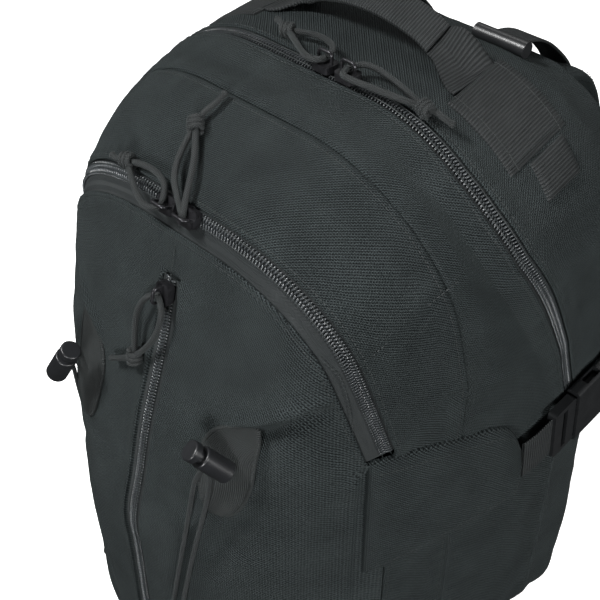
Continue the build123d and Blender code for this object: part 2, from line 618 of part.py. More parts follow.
def main():
    """Build every piece and write its file."""
    os.makedirs("parts", exist_ok=True)
    sewn_shells()
    save("base_panel", base_panel())
    save("main_zip_tape", seam_tape(MAIN_ZIP_SEAM, MAIN_ZIP_SEAM[1][1] - 12))
    save("front_zip_tape", seam_tape(FRONT_ZIP_SEAM, FRONT_ZIP_SEAM[1][1] + 12.5))
    save("centre_zip_tape", centre_tape())
    zip_sliders()
    compression_set()
    harness()
    sternum_strap()
    load_lifters()
    waist_belt()
    back_padding()
    handle_and_patches()
    cord_locks()
    shock_cords()


OUTER = body_hull(0)
main()
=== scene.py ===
"""Looks of the trauma backpack: sewn fabric, zips, cords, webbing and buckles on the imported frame.

Lengths are worked out in millimetres and turned into metres where a mesh is made.
+Z is up, the pocket face looks along -Y, and the wearer's back is towards +Y.
"""

import math

import bpy
import numpy as np
from mathutils import Matrix, Vector, noise
from mathutils.bvhtree import BVHTree


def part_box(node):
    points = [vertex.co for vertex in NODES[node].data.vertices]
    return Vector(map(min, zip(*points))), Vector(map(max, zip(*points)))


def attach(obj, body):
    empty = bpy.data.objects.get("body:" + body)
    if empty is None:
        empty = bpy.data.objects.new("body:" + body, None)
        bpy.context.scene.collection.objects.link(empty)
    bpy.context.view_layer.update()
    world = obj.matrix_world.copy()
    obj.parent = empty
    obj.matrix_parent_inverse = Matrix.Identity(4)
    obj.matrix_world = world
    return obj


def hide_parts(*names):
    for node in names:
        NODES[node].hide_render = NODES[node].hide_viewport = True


MM = 0.001
UV_UNIT = 0.01  # one UV unit is 100 mm of cloth

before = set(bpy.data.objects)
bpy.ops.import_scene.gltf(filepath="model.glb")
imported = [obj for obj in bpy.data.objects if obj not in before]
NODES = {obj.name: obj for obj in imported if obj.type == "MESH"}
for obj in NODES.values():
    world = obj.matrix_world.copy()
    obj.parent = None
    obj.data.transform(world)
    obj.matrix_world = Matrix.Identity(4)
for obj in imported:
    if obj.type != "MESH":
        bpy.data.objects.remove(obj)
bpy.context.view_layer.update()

# ---------------- dimensions, as in the part
MIDDLE = np.array((0.0, -40.0, 250.0))  # a point inside the pack that sees the whole skin
SHELLS = ("rear_compartment", "front_gusset", "middle_panel", "front_pocket")
SIDES = (("right", 1), ("left", -1))

# Seams seen from the side: (depth, height) from the crown down to where the seam turns upright
MAIN_SEAM = ((-42, 492), (-41, 471), (-36, 451), (-26, 423), (-7, 388), (26, 328), (46, 278))
ARCH_SEAM = ((-91, 490), (-60, 340))
FRONT_SEAM = ((-150, 445), (-107, 290))
REAR_RIM = ((100, 483), (100, 278))

COIL_HALF = 4.4  # half the width of the closed coil
COIL_PITCH = 2.3
COIL_BAR = (4.9, 1.55, 1.9)  # length, width and height of one half turn of the coil
COIL_RISE = 1.35  # middle of the coil above the skin
STITCH = (2.5, 0.75, 0.6)  # length, width and height of one stitch
CORD = 4.0
SHOCK_CORD = 3.2
STRAP_WEBBING = 25.0  # width of the shoulder, lifter and belt webbing
WEBBING_THICK = 1.8


# ---------------- materials
class Shader:
    """A principled material with short ways to add nodes."""

    def __init__(self, name, colour, roughness, specular=0.5):
        self.material = bpy.data.materials.new(name)
        self.material.use_nodes = True
        self.tree = self.material.node_tree
        self.surface = self.tree.nodes["Principled BSDF"]
        self.surface.inputs["Base Color"].default_value = (*colour, 1)
        self.surface.inputs["Roughness"].default_value = roughness
        self.surface.inputs["Specular IOR Level"].default_value = specular

    def node(self, kind, settings=None, **inputs):
        """Add a node, set its own settings, and set or link its inputs by name."""
        made = self.tree.nodes.new(kind)
        for key, value in (settings or {}).items():
            setattr(made, key, value)
        for key, value in inputs.items():
            socket = made.inputs[key.replace("_", " ")]
            if isinstance(value, bpy.types.NodeSocket):
                self.tree.links.new(value, socket)
            else:
                socket.default_value = value
        return made

    def math(self, operation, first, second):
        """One maths node's result."""
        made = self.tree.nodes.new("ShaderNodeMath")
        made.operation = operation
        for socket, value in zip(made.inputs, (first, second)):
            if isinstance(value, bpy.types.NodeSocket):
                self.tree.links.new(value, socket)
            else:
                socket.default_value = value
        return made.outputs[0]

    def cloth_millimetres(self):
        """Coordinates in millimetres of cloth, from the mesh's own layout."""
        layout = self.node("ShaderNodeTexCoord").outputs["UV"]
        scaled = self.node("ShaderNodeVectorMath", {"operation": "SCALE"}, Vector=layout)
        scaled.inputs["Scale"].default_value = 1 / UV_UNIT
        return scaled.outputs[0]

    def object_millimetres(self):
        """Coordinates in millimetres of the object's own space."""
        place = self.node("ShaderNodeTexCoord").outputs["Object"]
        scaled = self.node("ShaderNodeVectorMath", {"operation": "SCALE"}, Vector=place)
        scaled.inputs["Scale"].default_value = 1 / MM
        return scaled.outputs[0]

    def bands(self, vector, direction, period, wobble=0.0):
        """Smooth stripes with the given period in millimetres."""
        speed = 10 if direction == "DIAGONAL" else 20
        made = self.node(
            "ShaderNodeTexWave", {"bands_direction": direction}, Vector=vector,
            Scale=2 * math.pi / (speed * period), Distortion=wobble)
        made.inputs["Detail Scale"].default_value = 0.6
        return made.outputs["Fac"]

    def cloud(self, vector, size, detail=2.0):
        """Soft noise whose blobs are about size millimetres."""
        made = self.node("ShaderNodeTexNoise", None, Vector=vector, Scale=1 / size, Detail=detail)
        return made.outputs["Fac"]

    def bump(self, height, depth, strength=1.0):
        """Send a height through a bump node of the given depth in millimetres."""
        made = self.node("ShaderNodeBump", None, Height=height, Distance=depth * MM, Strength=strength)
        self.tree.links.new(made.outputs["Normal"], self.surface.inputs["Normal"])

    def colour(self, factor, dark, light):
        """Colour the surface between two tones by a factor."""
        ramp = self.tree.nodes.new("ShaderNodeValToRGB")
        ramp.color_ramp.elements[0].color = (*dark, 1)
        ramp.color_ramp.elements[1].color = (*light, 1)
        self.tree.links.new(factor, ramp.inputs["Fac"])
        self.tree.links.new(ramp.outputs["Color"], self.surface.inputs["Base Color"])

    def mixed(self, first, share, second, other_share):
        """Two factors added in the given shares."""
        rest = self.math("MULTIPLY", second, other_share)
        return self.math("ADD", self.math("MULTIPLY", first, share), rest)

    def sheen(self, weight, tint=(0.8, 0.88, 0.88)):
        """Give the cloth its soft halo."""
        self.surface.inputs["Sheen Weight"].default_value = weight
        self.surface.inputs["Sheen Roughness"].default_value = 0.4
        self.surface.inputs["Sheen Tint"].default_value = (*tint, 1)


def woven_cloth(name, dark, light, pitch, depth, roughness=0.62):
    """Coarse oxford cloth: diagonal ribs broken by the crossing yarns, coloured from a shaded to a lit tone
    of the cloth: painted shade in the weave's hollows and painted light on its crowns, over random mottle and
    slubs.
    """
    cloth = Shader(name, light, roughness, 0.16)
    place = cloth.cloth_millimetres()
    ribs = cloth.bands(place, "DIAGONAL", pitch * 1.3, 0.6)
    across = cloth.bands(place, "X", pitch * 0.8, 0.5)
    along = cloth.bands(place, "Y", pitch * 0.8, 0.5)
    grid = cloth.math("MULTIPLY", across, along)
    weave = cloth.mixed(ribs, 0.6, grid, 0.7)
    mottle = cloth.cloud(place, 28.0)
    slub = cloth.cloud(place, 1.7, 1.0)
    # Colour mix: the weave's height gives painted shade in its hollows and painted light on its crowns; the
    # mottle and slubs are random tone.
    weave_shade_and_mottle = cloth.mixed(weave, 0.52, mottle, 0.22)
    weave_shade_and_mottle = cloth.math("ADD", weave_shade_and_mottle, cloth.math("MULTIPLY", slub, 0.24))
    contrast = cloth.node("ShaderNodeMapRange", None, Value=weave_shade_and_mottle, From_Min=0.28, From_Max=0.82)
    cloth.colour(contrast.outputs[0], dark, light)
    cloth.bump(cloth.math("ADD", weave, cloth.math("MULTIPLY", slub, 0.5)), depth)
    cloth.sheen(0.02, (0.72, 0.85, 0.84))
    return cloth.material


def ribbed_webbing(name, dark, light, pitch=2.0):
    """Nylon webbing with ribs across it and fine yarns along it."""
    web = Shader(name, light, 0.55, 0.2)
    place = web.cloth_millimetres()
    ribs = web.bands(place, "X", pitch, 0.3)
    yarns = web.bands(place, "Y", 0.9, 0.3)
    weave = web.mixed(ribs, 0.8, yarns, 0.25)
    mottle = web.cloud(place, 16.0)
    web.colour(web.mixed(weave, 0.6, mottle, 0.3), dark, light)
    web.bump(weave, 0.9)
    web.sheen(0.015)
    return web.material


def herringbone(name, dark, light):
    """Zip tape: fine diagonal yarns that turn back every few millimetres."""
    tape = Shader(name, light, 0.6, 0.2)
    place = tape.cloth_millimetres()
    zigzag = tape.node("ShaderNodeSeparateXYZ", None, Vector=place)
    folded = tape.math("PINGPONG", zigzag.outputs["Y"], 2.6)
    slanted = tape.node("ShaderNodeCombineXYZ", None, X=tape.math("ADD", zigzag.outputs["X"], folded))
    ribs = tape.bands(slanted.outputs[0], "X", 1.1, 0.2)
    mottle = tape.cloud(place, 12.0)
    tape.colour(tape.mixed(ribs, 0.6, mottle, 0.3), dark, light)
    tape.bump(ribs, 0.3)
    tape.sheen(0.02)
    return tape.material


def braided_cord(name, dark, light, pitch):
    """A braided sheath: two sets of strands that cross round the cord."""
    braid = Shader(name, light, 0.6, 0.35)
    place = braid.cloth_millimetres()
    parts = braid.node("ShaderNodeSeparateXYZ", None, Vector=place)
    strands = []
    for turn in (1.0, -1.0):
        slanted = braid.math("ADD", parts.outputs["X"], braid.math("MULTIPLY", parts.outputs["Y"], turn))
        vector = braid.node("ShaderNodeCombineXYZ", None, X=slanted).outputs[0]
        strands.append(braid.bands(vector, "X", pitch))
    weave = braid.math("MULTIPLY", strands[0], strands[1])
    braid.colour(braid.math("ADD", weave, 0.1), dark, light)
    braid.bump(weave, 0.5)
    braid.sheen(0.08)
    return braid.material


def moulded_plastic(name, dark, light, roughness):
    """Satin moulded plastic with a faint grain and paler rubbed patches."""
    plastic = Shader(name, light, roughness, 0.5)
    place = plastic.object_millimetres()
    grain = plastic.cloud(place, 0.8)
    worn = plastic.cloud(place, 9.0)
    plastic.colour(worn, dark, light)
    spread = plastic.math("ADD", plastic.math("MULTIPLY", grain, 0.16), roughness - 0.08)
    plastic.tree.links.new(spread, plastic.surface.inputs["Roughness"])
    plastic.bump(grain, 0.06)
    return plastic.material


def dark_metal(name, colour, roughness):
    """Enamelled or plain metal with fine wear."""
    metal = Shader(name, colour, roughness, 0.5)
    place = metal.object_millimetres()
    wear = metal.cloud(place, 2.5, 4.0)
    metal.surface.inputs["Metallic"].default_value = 0.7
    spread = metal.math("ADD", metal.math("MULTIPLY", wear, 0.25), roughness - 0.12)
    metal.tree.links.new(spread, metal.surface.inputs["Roughness"])
    metal.colour(wear, tuple(0.6 * c for c in colour), tuple(1.5 * c for c in colour))
    metal.bump(wear, 0.03)
    return metal.material


def spacer_mesh(name, dark, light, pitch=3.2):
    """Open mesh padding: rows of small holes over a darker backing."""
    mesh = Shader(name, light, 0.7, 0.25)
    place = mesh.object_millimetres()
    cells = mesh.node("ShaderNodeTexVoronoi", None, Vector=place, Scale=1 / pitch, Randomness=0.15)
    rim = mesh.node("ShaderNodeMapRange", None, Value=cells.outputs["Distance"], From_Min=0.25, From_Max=0.5)
    mesh.colour(rim.outputs[0], dark, light)
    mesh.bump(rim.outputs[0], 0.8)
    return mesh.material


# Each finish: the function that makes it, then that function's settings
FINISHES = {
    # In each woven cloth the darker tone is painted shade and the paler tone painted light, laid on the
    # weave's hollows and crowns along with random mottle.
    "body_fabric": (woven_cloth, (0.002, 0.0035, 0.004), (0.056, 0.069, 0.07), 1.6, 1.3),
    "base_fabric": (woven_cloth, (0.003, 0.004, 0.004), (0.016, 0.02, 0.02), 1.6, 0.4),
    "lining": (woven_cloth, (0.02, 0.024, 0.024), (0.05, 0.056, 0.056), 0.7, 0.15),
    "strap_padding": (woven_cloth, (0.004, 0.006, 0.0065), (0.042, 0.053, 0.054), 1.4, 0.7),
    "webbing": (ribbed_webbing, (0.002, 0.0025, 0.0025), (0.038, 0.042, 0.043), 2.1),
    "zip_tape": (herringbone, (0.004, 0.005, 0.0055), (0.042, 0.048, 0.049)),
    "paracord": (braided_cord, (0.002, 0.003, 0.003), (0.034, 0.039, 0.04), 1.5),
    "elastic_cord": (braided_cord, (0.002, 0.003, 0.003), (0.03, 0.034, 0.036), 1.1),
    "buckle_plastic": (moulded_plastic, (0.006, 0.0065, 0.007), (0.014, 0.015, 0.016), 0.34),
    "lock_plastic": (moulded_plastic, (0.006, 0.0065, 0.007), (0.015, 0.016, 0.018), 0.34),
    "frame_plastic": (moulded_plastic, (0.03, 0.03, 0.03), (0.05, 0.05, 0.05), 0.5),
    "slider_metal": (dark_metal, (0.03, 0.03, 0.033), 0.3),
    "spring_steel": (dark_metal, (0.5, 0.5, 0.5), 0.35),
    "coil_nylon": (moulded_plastic, (0.02, 0.023, 0.025), (0.06, 0.066, 0.07), 0.26),
    "thread": (moulded_plastic, (0.006, 0.008, 0.008), (0.022, 0.028, 0.028), 0.55),
    "back_mesh": (spacer_mesh, (0.004, 0.0045, 0.005), (0.026, 0.028, 0.030)),
    "tab_trim": (ribbed_webbing, (0.006, 0.007, 0.007), (0.05, 0.056, 0.056), 1.3),
}
PALETTE = {name: make(name, *settings) for name, (make, *settings) in FINISHES.items()}


# ---------------- meshes
def unit(vectors):
    """Vectors of length one."""
    return vectors / np.linalg.norm(vectors, axis=-1, keepdims=True)


def run_along(path):
    """Distance from a path's start to each of its points."""
    return np.concatenate(([0.0], np.cumsum(np.linalg.norm(np.diff(path, axis=0), axis=1))))


def make_object(name, points, faces, material, body="pack", uvs=None, node=None):
    """A smooth mesh from points in millimetres, riding on a CAD body and replacing a CAD node."""
    mesh = bpy.data.meshes.new(name)
    mesh.from_pydata((np.asarray(points) * MM).tolist(), [], faces)
    if uvs is not None:
        layer = mesh.uv_layers.new(name="cloth")
        corners = np.empty(len(mesh.loops), dtype=np.int32)
        mesh.loops.foreach_get("vertex_index", corners)
        layer.data.foreach_set("uv", (np.asarray(uvs)[corners] * UV_UNIT).ravel())
    mesh.shade_smooth()
    mesh.materials.append(PALETTE[material])
    made = bpy.data.objects.new(name, mesh)
    bpy.context.scene.collection.objects.link(made)
    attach(made, body)
    if node:
        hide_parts(node)
    return made


def grid_faces(rows, columns, loop_columns=False):
    """Quads over a rows by columns grid of points."""
    faces = []
    last = columns if loop_columns else columns - 1
    for row in range(rows - 1):
        for column in range(last):
            after = (column + 1) % columns
            faces.append((row * columns + column, row * columns + after,
                          (row + 1) * columns + after, (row + 1) * columns + column))
    return faces


def capped_faces(rings, around):
    """Quads along a closed tube and a face over each end."""
    faces = grid_faces(rings, around, loop_columns=True)
    faces.append(tuple(range(around))[::-1])
    faces.append(tuple(range((rings - 1) * around, rings * around)))
    return faces


def thicken(made, thickness):
    """Give a single sheet its thickness, inwards from its face."""
    solid = made.modifiers.new("thickness", "SOLIDIFY")
    solid.thickness = thickness * MM
    solid.offset = -1
    return made


def resample(points, spacing):
    """Points evenly spaced along a polyline."""
    points = np.asarray(points, float)
    run = run_along(points)
    count = max(2, int(round(run[-1] / spacing)) + 1)
    wanted = np.linspace(0, run[-1], count)
    return np.stack([np.interp(wanted, run, points[:, axis]) for axis in range(3)], axis=1)


def smooth_route(points, spacing=1.0, name="route"):
    """Points read from the NURBS spline whose control points are the route's."""
    curve = bpy.data.curves.new(name, "CURVE")
    curve.dimensions = "3D"
    curve.resolution_u = 16
    spline = curve.splines.new("NURBS")
    spline.points.add(len(points) - 1)
    for control, point in zip(spline.points, points):
        control.co = (*(Vector(point) * MM), 1)
    spline.order_u = 3
    spline.use_endpoint_u = True
    holder = bpy.data.objects.new(name, curve)
    bpy.context.scene.collection.objects.link(holder)
    line = bpy.data.meshes.new_from_object(holder)
    found = np.array([v.co for v in line.vertices]) / MM
    bpy.data.objects.remove(holder)
    bpy.data.meshes.remove(line)
    return resample(found, spacing)


def carried_frames(path):
    """Tangent, side and up directions that turn as little as possible along a path."""
    tangents = unit(np.gradient(path, axis=0))
    side = np.cross(tangents[0], (0.31, 0.17, 0.93))
    sides = []
    for tangent in tangents:
        side = side - tangent * np.dot(side, tangent)
        side = side / np.linalg.norm(side)
        sides.append(side)
    sides = np.array(sides)
    return tangents, sides, np.cross(tangents, sides)


def tube(name, path, radius, material, body="pack", around=12, node=None):
    """A round tube with closed ends along a path; radius may change along it."""
    radius = np.broadcast_to(np.asarray(radius, float), (len(path),))
    _, sides, ups = carried_frames(path)
    turn = np.linspace(0, 2 * math.pi, around, endpoint=False)
    ring = np.cos(turn)[None, :, None] * sides[:, None] + np.sin(turn)[None, :, None] * ups[:, None]
    points = (path[:, None] + ring * radius[:, None, None]).reshape(-1, 3)
    run = run_along(path)
    uvs = np.stack(np.meshgrid(run, turn * radius.max(), indexing="ij"), axis=-1).reshape(-1, 2)
    return make_object(name, points, capped_faces(len(path), around), material, body, uvs, node)


# ---------------- the stuffed skin
AROUND_STEPS = 360
TILT_STEPS = 180


def read_skin():
    """Distance from the middle to the outer form, in a smooth grid of directions."""
    points = []
    faces = []
    for name in SHELLS:
        mesh = NODES[name].data
        first = len(points)
        points.extend(v.co / MM for v in mesh.vertices)
        faces.extend([first + index for index in polygon.vertices] for polygon in mesh.polygons)
    tree = BVHTree.FromPolygons(points, faces)
    middle = Vector(MIDDLE)
    distances = np.zeros((TILT_STEPS, AROUND_STEPS))
    for row in range(TILT_STEPS):
        tilt = math.pi * (row + 0.5) / TILT_STEPS
        for column in range(AROUND_STEPS):
            turn = 2 * math.pi * column / AROUND_STEPS
            way = Vector((math.cos(tilt), math.sin(tilt) * math.cos(turn), math.sin(tilt) * math.sin(turn)))
            hit = tree.ray_cast(middle + way * 700, -way)[0]
            distances[row, column] = (hit - middle).length
    for _ in range(2):
        padded = np.pad(distances, ((1, 1), (0, 0)), mode="edge")
        distances = (padded[:-2] + 2 * padded[1:-1] + padded[2:]) / 4
        distances = (np.roll(distances, 1, 1) + 2 * distances + np.roll(distances, -1, 1)) / 4
    return distances


SKIN = read_skin()


def skin_distance(ways):
    """Distance from the middle to the skin along unit directions."""
    tilt = np.arccos(np.clip(ways[..., 0], -1, 1)) / math.pi * TILT_STEPS - 0.5
    turn = np.arctan2(ways[..., 2], ways[..., 1]) / (2 * math.pi) * AROUND_STEPS
    tilt = np.clip(tilt, 0, TILT_STEPS - 1.001)
    row = np.floor(tilt).astype(int)
    column = np.floor(turn).astype(int)
    down = tilt - row
    along = turn - column
    column = column % AROUND_STEPS
    after = (column + 1) % AROUND_STEPS
    first = SKIN[row, column] * (1 - along) + SKIN[row, after] * along
    second = SKIN[row + 1, column] * (1 - along) + SKIN[row + 1, after] * along
    return first * (1 - down) + second * down


def snap(points):
    """Move points along their line from the middle onto the skin."""
    ways = unit(points - MIDDLE)
    return MIDDLE + ways * skin_distance(ways)[..., None]


def skin_normals(points):
    """Outward directions of the skin at points on it."""
    ways = unit(points - MIDDLE)
    helper = np.where(np.abs(ways[..., 1:2]) < 0.8, (0.0, 1.0, 0.0), (0.0, 0.0, 1.0))
    first = unit(np.cross(ways, helper))
    second = np.cross(ways, first)
    step = 3.0
    run_one = snap(points + first * step) - snap(points - first * step)
    run_two = snap(points + second * step) - snap(points - second * step)
    normals = unit(np.cross(run_one, run_two))
    facing = np.sign(np.sum(normals * ways, axis=-1, keepdims=True))
    return normals * facing


def seam_depth(seam, height):
    """Depth of a seam at a height: carried on above its crown, upright below its turn."""
    depths, heights = np.array(seam, float).T
    slant = (depths[0] - depths[1]) / (heights[0] - heights[1])
    inside = np.interp(height, heights[::-1], depths[::-1])
    return inside + slant * np.maximum(height - heights[0], 0)


def seam_curve(seam, angles):
    """Skin points of a seam at angles from the top, measured round the middle."""
    reach = np.full(angles.shape, 200.0)
    for _ in range(25):
        height = MIDDLE[2] + reach * np.cos(angles)
        points = np.stack([reach * np.sin(angles), seam_depth(seam, height), height], axis=-1)
        offset = points - MIDDLE
        length = np.linalg.norm(offset, axis=-1)
        reach = reach * (skin_distance(offset / length[..., None]) / length) ** 1.2
    return points


def even_angles(seam, count, spread=math.pi):
    """Angles whose seam points are evenly spaced along the skin."""
    angles = np.linspace(-spread, spread, 721)
    points = seam_curve(seam, angles)
    run = run_along(points)
    return np.interp(np.linspace(0, run[-1], count), run, angles)


def sideways(curve, normals):
    """Unit directions in the skin, across a seam and towards the pocket side."""
    tangents = unit(np.gradient(curve, axis=0))
    across = unit(np.cross(tangents, normals))
    facing = -np.sign(across[len(across) // 2, 1])
    return across * facing


# ---------------- relief of the cloth
def distance_to_line(points, line):
    """Distance from each point to a polyline, and how far along it the nearest point lies."""
    line = np.asarray(line, float)
    best = np.full(len(points), 1e9)
    along = np.zeros(len(points))
    total = np.sum(np.linalg.norm(np.diff(line, axis=0), axis=1))
    before = 0.0
    for start, end in zip(line, line[1:]):
        run = end - start
        length = np.linalg.norm(run)
        share = np.clip((points - start) @ run / length ** 2, 0, 1)
        gap = np.linalg.norm(points - (start + share[:, None] * run), axis=1)
        nearer = gap < best
        best = np.where(nearer, gap, best)
        along = np.where(nearer, (before + share * length) / total, along)
        before += length
    return best, along


def fold(points, line, height, width):
    """A soft ridge (or with a negative height a dent) along a line, fading at its ends."""
    gap, along = distance_to_line(points, line)
    fade = np.clip(4 * along * (1 - along), 0, 1) ** 0.6
    return height * fade * np.exp(-(gap / width) ** 2)


# Ridges and dents of the stuffed cloth: route on the skin, height, half width
FOLDS = [
    ([(-110, -60, 470), (-60, -75, 485), (-20, -70, 492)], -4.0, 9.0),
    ([(-120, -90, 440), (-80, -100, 466), (-40, -96, 482)], 2.5, 8.0),
    ([(-130, -40, 440), (-100, -38, 462), (-60, -30, 474)], -3.5, 8.0),
    ([(150, -40, 380), (158, -20, 330), (160, 0, 290)], 2.0, 12.0),
    ([(100, -150, 330), (112, -140, 300), (116, -128, 270)], 3.0, 9.0),
]


def wrinkles(points, seed):
    """Large soft bulges and small creases of stuffed cloth, in millimetres."""
    heights = np.empty(len(points))
    for index, (x, y, z) in enumerate(points):
        broad = noise.noise(Vector((x / 70 + seed, y / 70, z / 95)))
        crease = noise.noise(Vector((x / 22, y / 22 + seed, z / 34)))
        fine = noise.noise(Vector((x / 9 + seed, y / 9, z / 12)))
        heights[index] = 2.4 * broad + 1.1 * (0.5 - abs(crease)) + 0.22 * fine
    return heights


def pucker(run, gap, seed):
    """Small gathers beside a row of stitches, at distances along and away from it."""
    ripples = np.array([noise.noise(Vector((value / 6.5, seed, 0.4))) for value in run])
    return 0.9 * ripples[None, :] * np.exp(-(gap[:, None] / 9.0) ** 2)


# Cloth edge beside a zip: distance from the edge, and height above the skin
ROLLED_EDGE = ((1.6, 0.2), (0.3, 0.5), (0.0, 1.6), (0.5, 2.6), (1.6, 3.0), (2.8, 2.5), (3.6, 2.1),
               (4.6, 2.5), (6.5, 2.3), (9.5, 1.7), (13.0, 1.2), (17.0, 1.0))
# Sewn seam: a valley where two panels meet
SEWN_EDGE = ((0.0, -0.8), (0.7, 0.2), (1.8, 1.1), (3.4, 1.5), (4.4, 1.1), (5.4, 1.4), (8.0, 1.4),
             (11.0, 1.2), (14.0, 1.0))
BASE_LIFT = 1.0
COLUMNS = 420
ROW_SPACING = 3.0


def seam_end_gap(points, end_height, open_gap):
    """Gap between a cloth edge and its seam: open_gap beside the zip, closing below its end."""
    share = np.clip((points[:, 2] - end_height + 12) / 12, 0, 1)
    return 0.3 + (open_gap - 0.3) * share


def edge_rows(seam, angles, towards, gap, end_height, profile):
    """Rows of skin points beside a seam, from the cloth edge inwards, and their lifts."""
    curve = seam_curve(seam, angles)
    across = sideways(curve, skin_normals(curve)) * towards
    gaps = seam_end_gap(curve, end_height, gap)[:, None] if gap else np.zeros((len(curve), 1))
    rows = [snap(curve + across * (gaps + distance)) for distance, _ in profile]
    return rows, [lift for _, lift in profile]


def fill_rows(rows, lifts, target):
    """Carry the rows on over the skin to a target curve or point, evenly spaced."""
    last = rows[-1]
    target = np.broadcast_to(target, last.shape)
    room = np.linalg.norm(target - last, axis=1)[len(last) // 2]
    count = max(3, int(room / ROW_SPACING))
    for share in np.linspace(0, 1, count + 1)[1:]:
        rows.append(snap(last + (target - last) * min(share, 0.998)))
        lifts.append(BASE_LIFT)


def close_rows(rows, lifts, finish, finish_lifts):
    """Carry the rows on to a second seam, whose own rows were laid from its edge inwards."""
    fill_rows(rows, lifts, finish[-1])
    rows += finish[-2::-1]
    lifts += finish_lifts[-2::-1]


def sewn_edges(run, gap, seed, held):
    """How far each row may swell, and the gathers beside the first and the last row if held."""
    hold = np.ones(len(gap))
    gathers = np.zeros((len(gap), len(run)))
    for is_held, away, shift in zip(held, (gap, gap[-1] - gap), (0, 5)):
        if is_held:
            hold = np.minimum(hold, np.clip((away - 3) / 16, 0, 1))
            ripples = pucker(run, np.maximum(away - 6, 0), seed + shift)
            gathers += ripples * (away > 3)[:, None]
    return hold, gathers


def raise_panel(name, node, rows, lifts, seed, held=(True, True), extra=None, flat_uv=False):
    """Raise a panel's cloth off the skin, add its relief, and make the mesh; returns its points."""
    surface = np.array(rows)
    row_count, columns = surface.shape[:2]
    flat = surface.reshape(-1, 3)
    normals = skin_normals(flat)
    relief = wrinkles(flat, seed)
    for line, height, width in FOLDS:
        relief += fold(flat, line, height, width)
    if extra is not None:
        relief = extra(flat, relief)
    relief = relief.reshape(row_count, columns)
    run = run_along(surface[0])
    hold, gathers = sewn_edges(run, run_along(surface[:, columns // 2]), seed, held)
    height = np.array(lifts)[:, None] + relief * hold[:, None] + gathers
    points = lift_off(flat, normals, height)
    across = np.cumsum(np.linalg.norm(np.diff(surface, axis=0, prepend=surface[:1]), axis=2), axis=0)
    uvs = np.stack([np.broadcast_to(run, (row_count, columns)), across], axis=-1).reshape(-1, 2)
    if flat_uv:
        uvs = flat[:, (0, 2)]
    made = make_object(name, points, outward_faces(points, normals, row_count, columns),
                       "body_fabric", uvs=uvs, node=node)
    return points.reshape(row_count, columns, 3)


def lift_off(flat, normals, height):
    """Skin points raised by their heights, kept above the floor."""
    points = flat + normals * height.reshape(-1, 1)
    points[:, 2] = np.maximum(points[:, 2], 0.0)
    return points


def outward_faces(points, normals, rows, columns):
    """Grid faces that look the same way as the skin."""
    faces = grid_faces(rows, columns)
    a, b, c, _ = faces[len(faces) // 2]
    facing = np.cross(points[b] - points[a], points[c] - points[a])
    if np.dot(facing, normals[a]) < 0:
        faces = [face[::-1] for face in faces]
    return faces


# ---------------- stitches and zips
def capsules(name, centres, alongs, normals, sizes, material):
    """Many small rounded bars in one mesh; sizes are (length, width, height)."""
    rings = 5
    around = 6
    tilt = np.linspace(0, math.pi, rings)
    turn = np.linspace(0, 2 * math.pi, around, endpoint=False)
    shape = np.stack([
        np.broadcast_to(-np.cos(tilt)[:, None], (rings, around)),
        np.sin(tilt)[:, None] ** 0.6 * np.cos(turn),
        np.sin(tilt)[:, None] ** 0.6 * np.sin(turn),
    ], axis=-1).reshape(-1, 3) * (np.asarray(sizes) / 2)
    across = unit(np.cross(normals, alongs))
    basis = np.stack([alongs, across, normals], axis=1)
    points = (centres[:, None] + shape[None] @ basis).reshape(-1, 3)
    one = np.array(grid_faces(rings, around, loop_columns=True))
    faces = (one[None] + (np.arange(len(centres)) * rings * around)[:, None, None]).reshape(-1, 4)
    return make_object(name, points, faces.tolist(), material)


def stitches(name, line, spacing=3.4):
    """A row of thread stitches along a line on the cloth."""
    path = resample(line, spacing)
    alongs = unit(np.gradient(path, axis=0))
    normals = skin_normals(snap(path))
    return capsules(name, path + normals * 0.1, alongs, normals, STITCH, "thread")


def zip_range(seam, end_height):
    """Angles of the seam between the two ends of its zip."""
    angles = np.linspace(-math.pi * 0.9, math.pi * 0.9, 1441)
    curve = seam_curve(seam, angles)
    inside = angles[curve[:, 2] > end_height]
    return inside.min(), inside.max()


def arch_zip(name, node, seam, end_height, reach):
    """Zip tape with its closed coil along an arched seam; reach is the tape's width each side."""
    low, high = zip_range(seam, end_height)
    curve = resample(seam_curve(seam, np.linspace(low, high, 600)), 2.0)
    return lay_zip(name, node, curve, reach)


def lay_zip(name, node, curve, reach, across=None):
    """Tape and interlocked coil along a curve on the skin."""
    normals = skin_normals(curve)
    if across is None:
        across = sideways(curve, normals)
    offsets = np.concatenate((np.linspace(-reach[0], -COIL_HALF, 5), [-1.5, 1.5],
                              np.linspace(COIL_HALF, reach[1], 5)))
    surface = np.array([snap(curve + across * offset) for offset in offsets])
    flat = surface.reshape(-1, 3)
    tape_normals = skin_normals(flat)
    run = run_along(curve)
    uvs = np.stack(np.broadcast_arrays(run[None], offsets[:, None]), axis=-1).reshape(-1, 2)
    tape_faces = outward_faces(flat, tape_normals, *surface.shape[:2])
    make_object(name, flat + tape_normals * 0.35, tape_faces, "zip_tape", uvs=uvs, node=node)
    lay_coil(name, curve, across, run)
    for label, side in (("back", -1), ("front", 1)):
        seam_line = snap(curve + across * side * 2.9) + normals * 2.35
        tube(f"{name}_coil_stitch_{label}", seam_line, 0.28, "thread", "pack", 6)


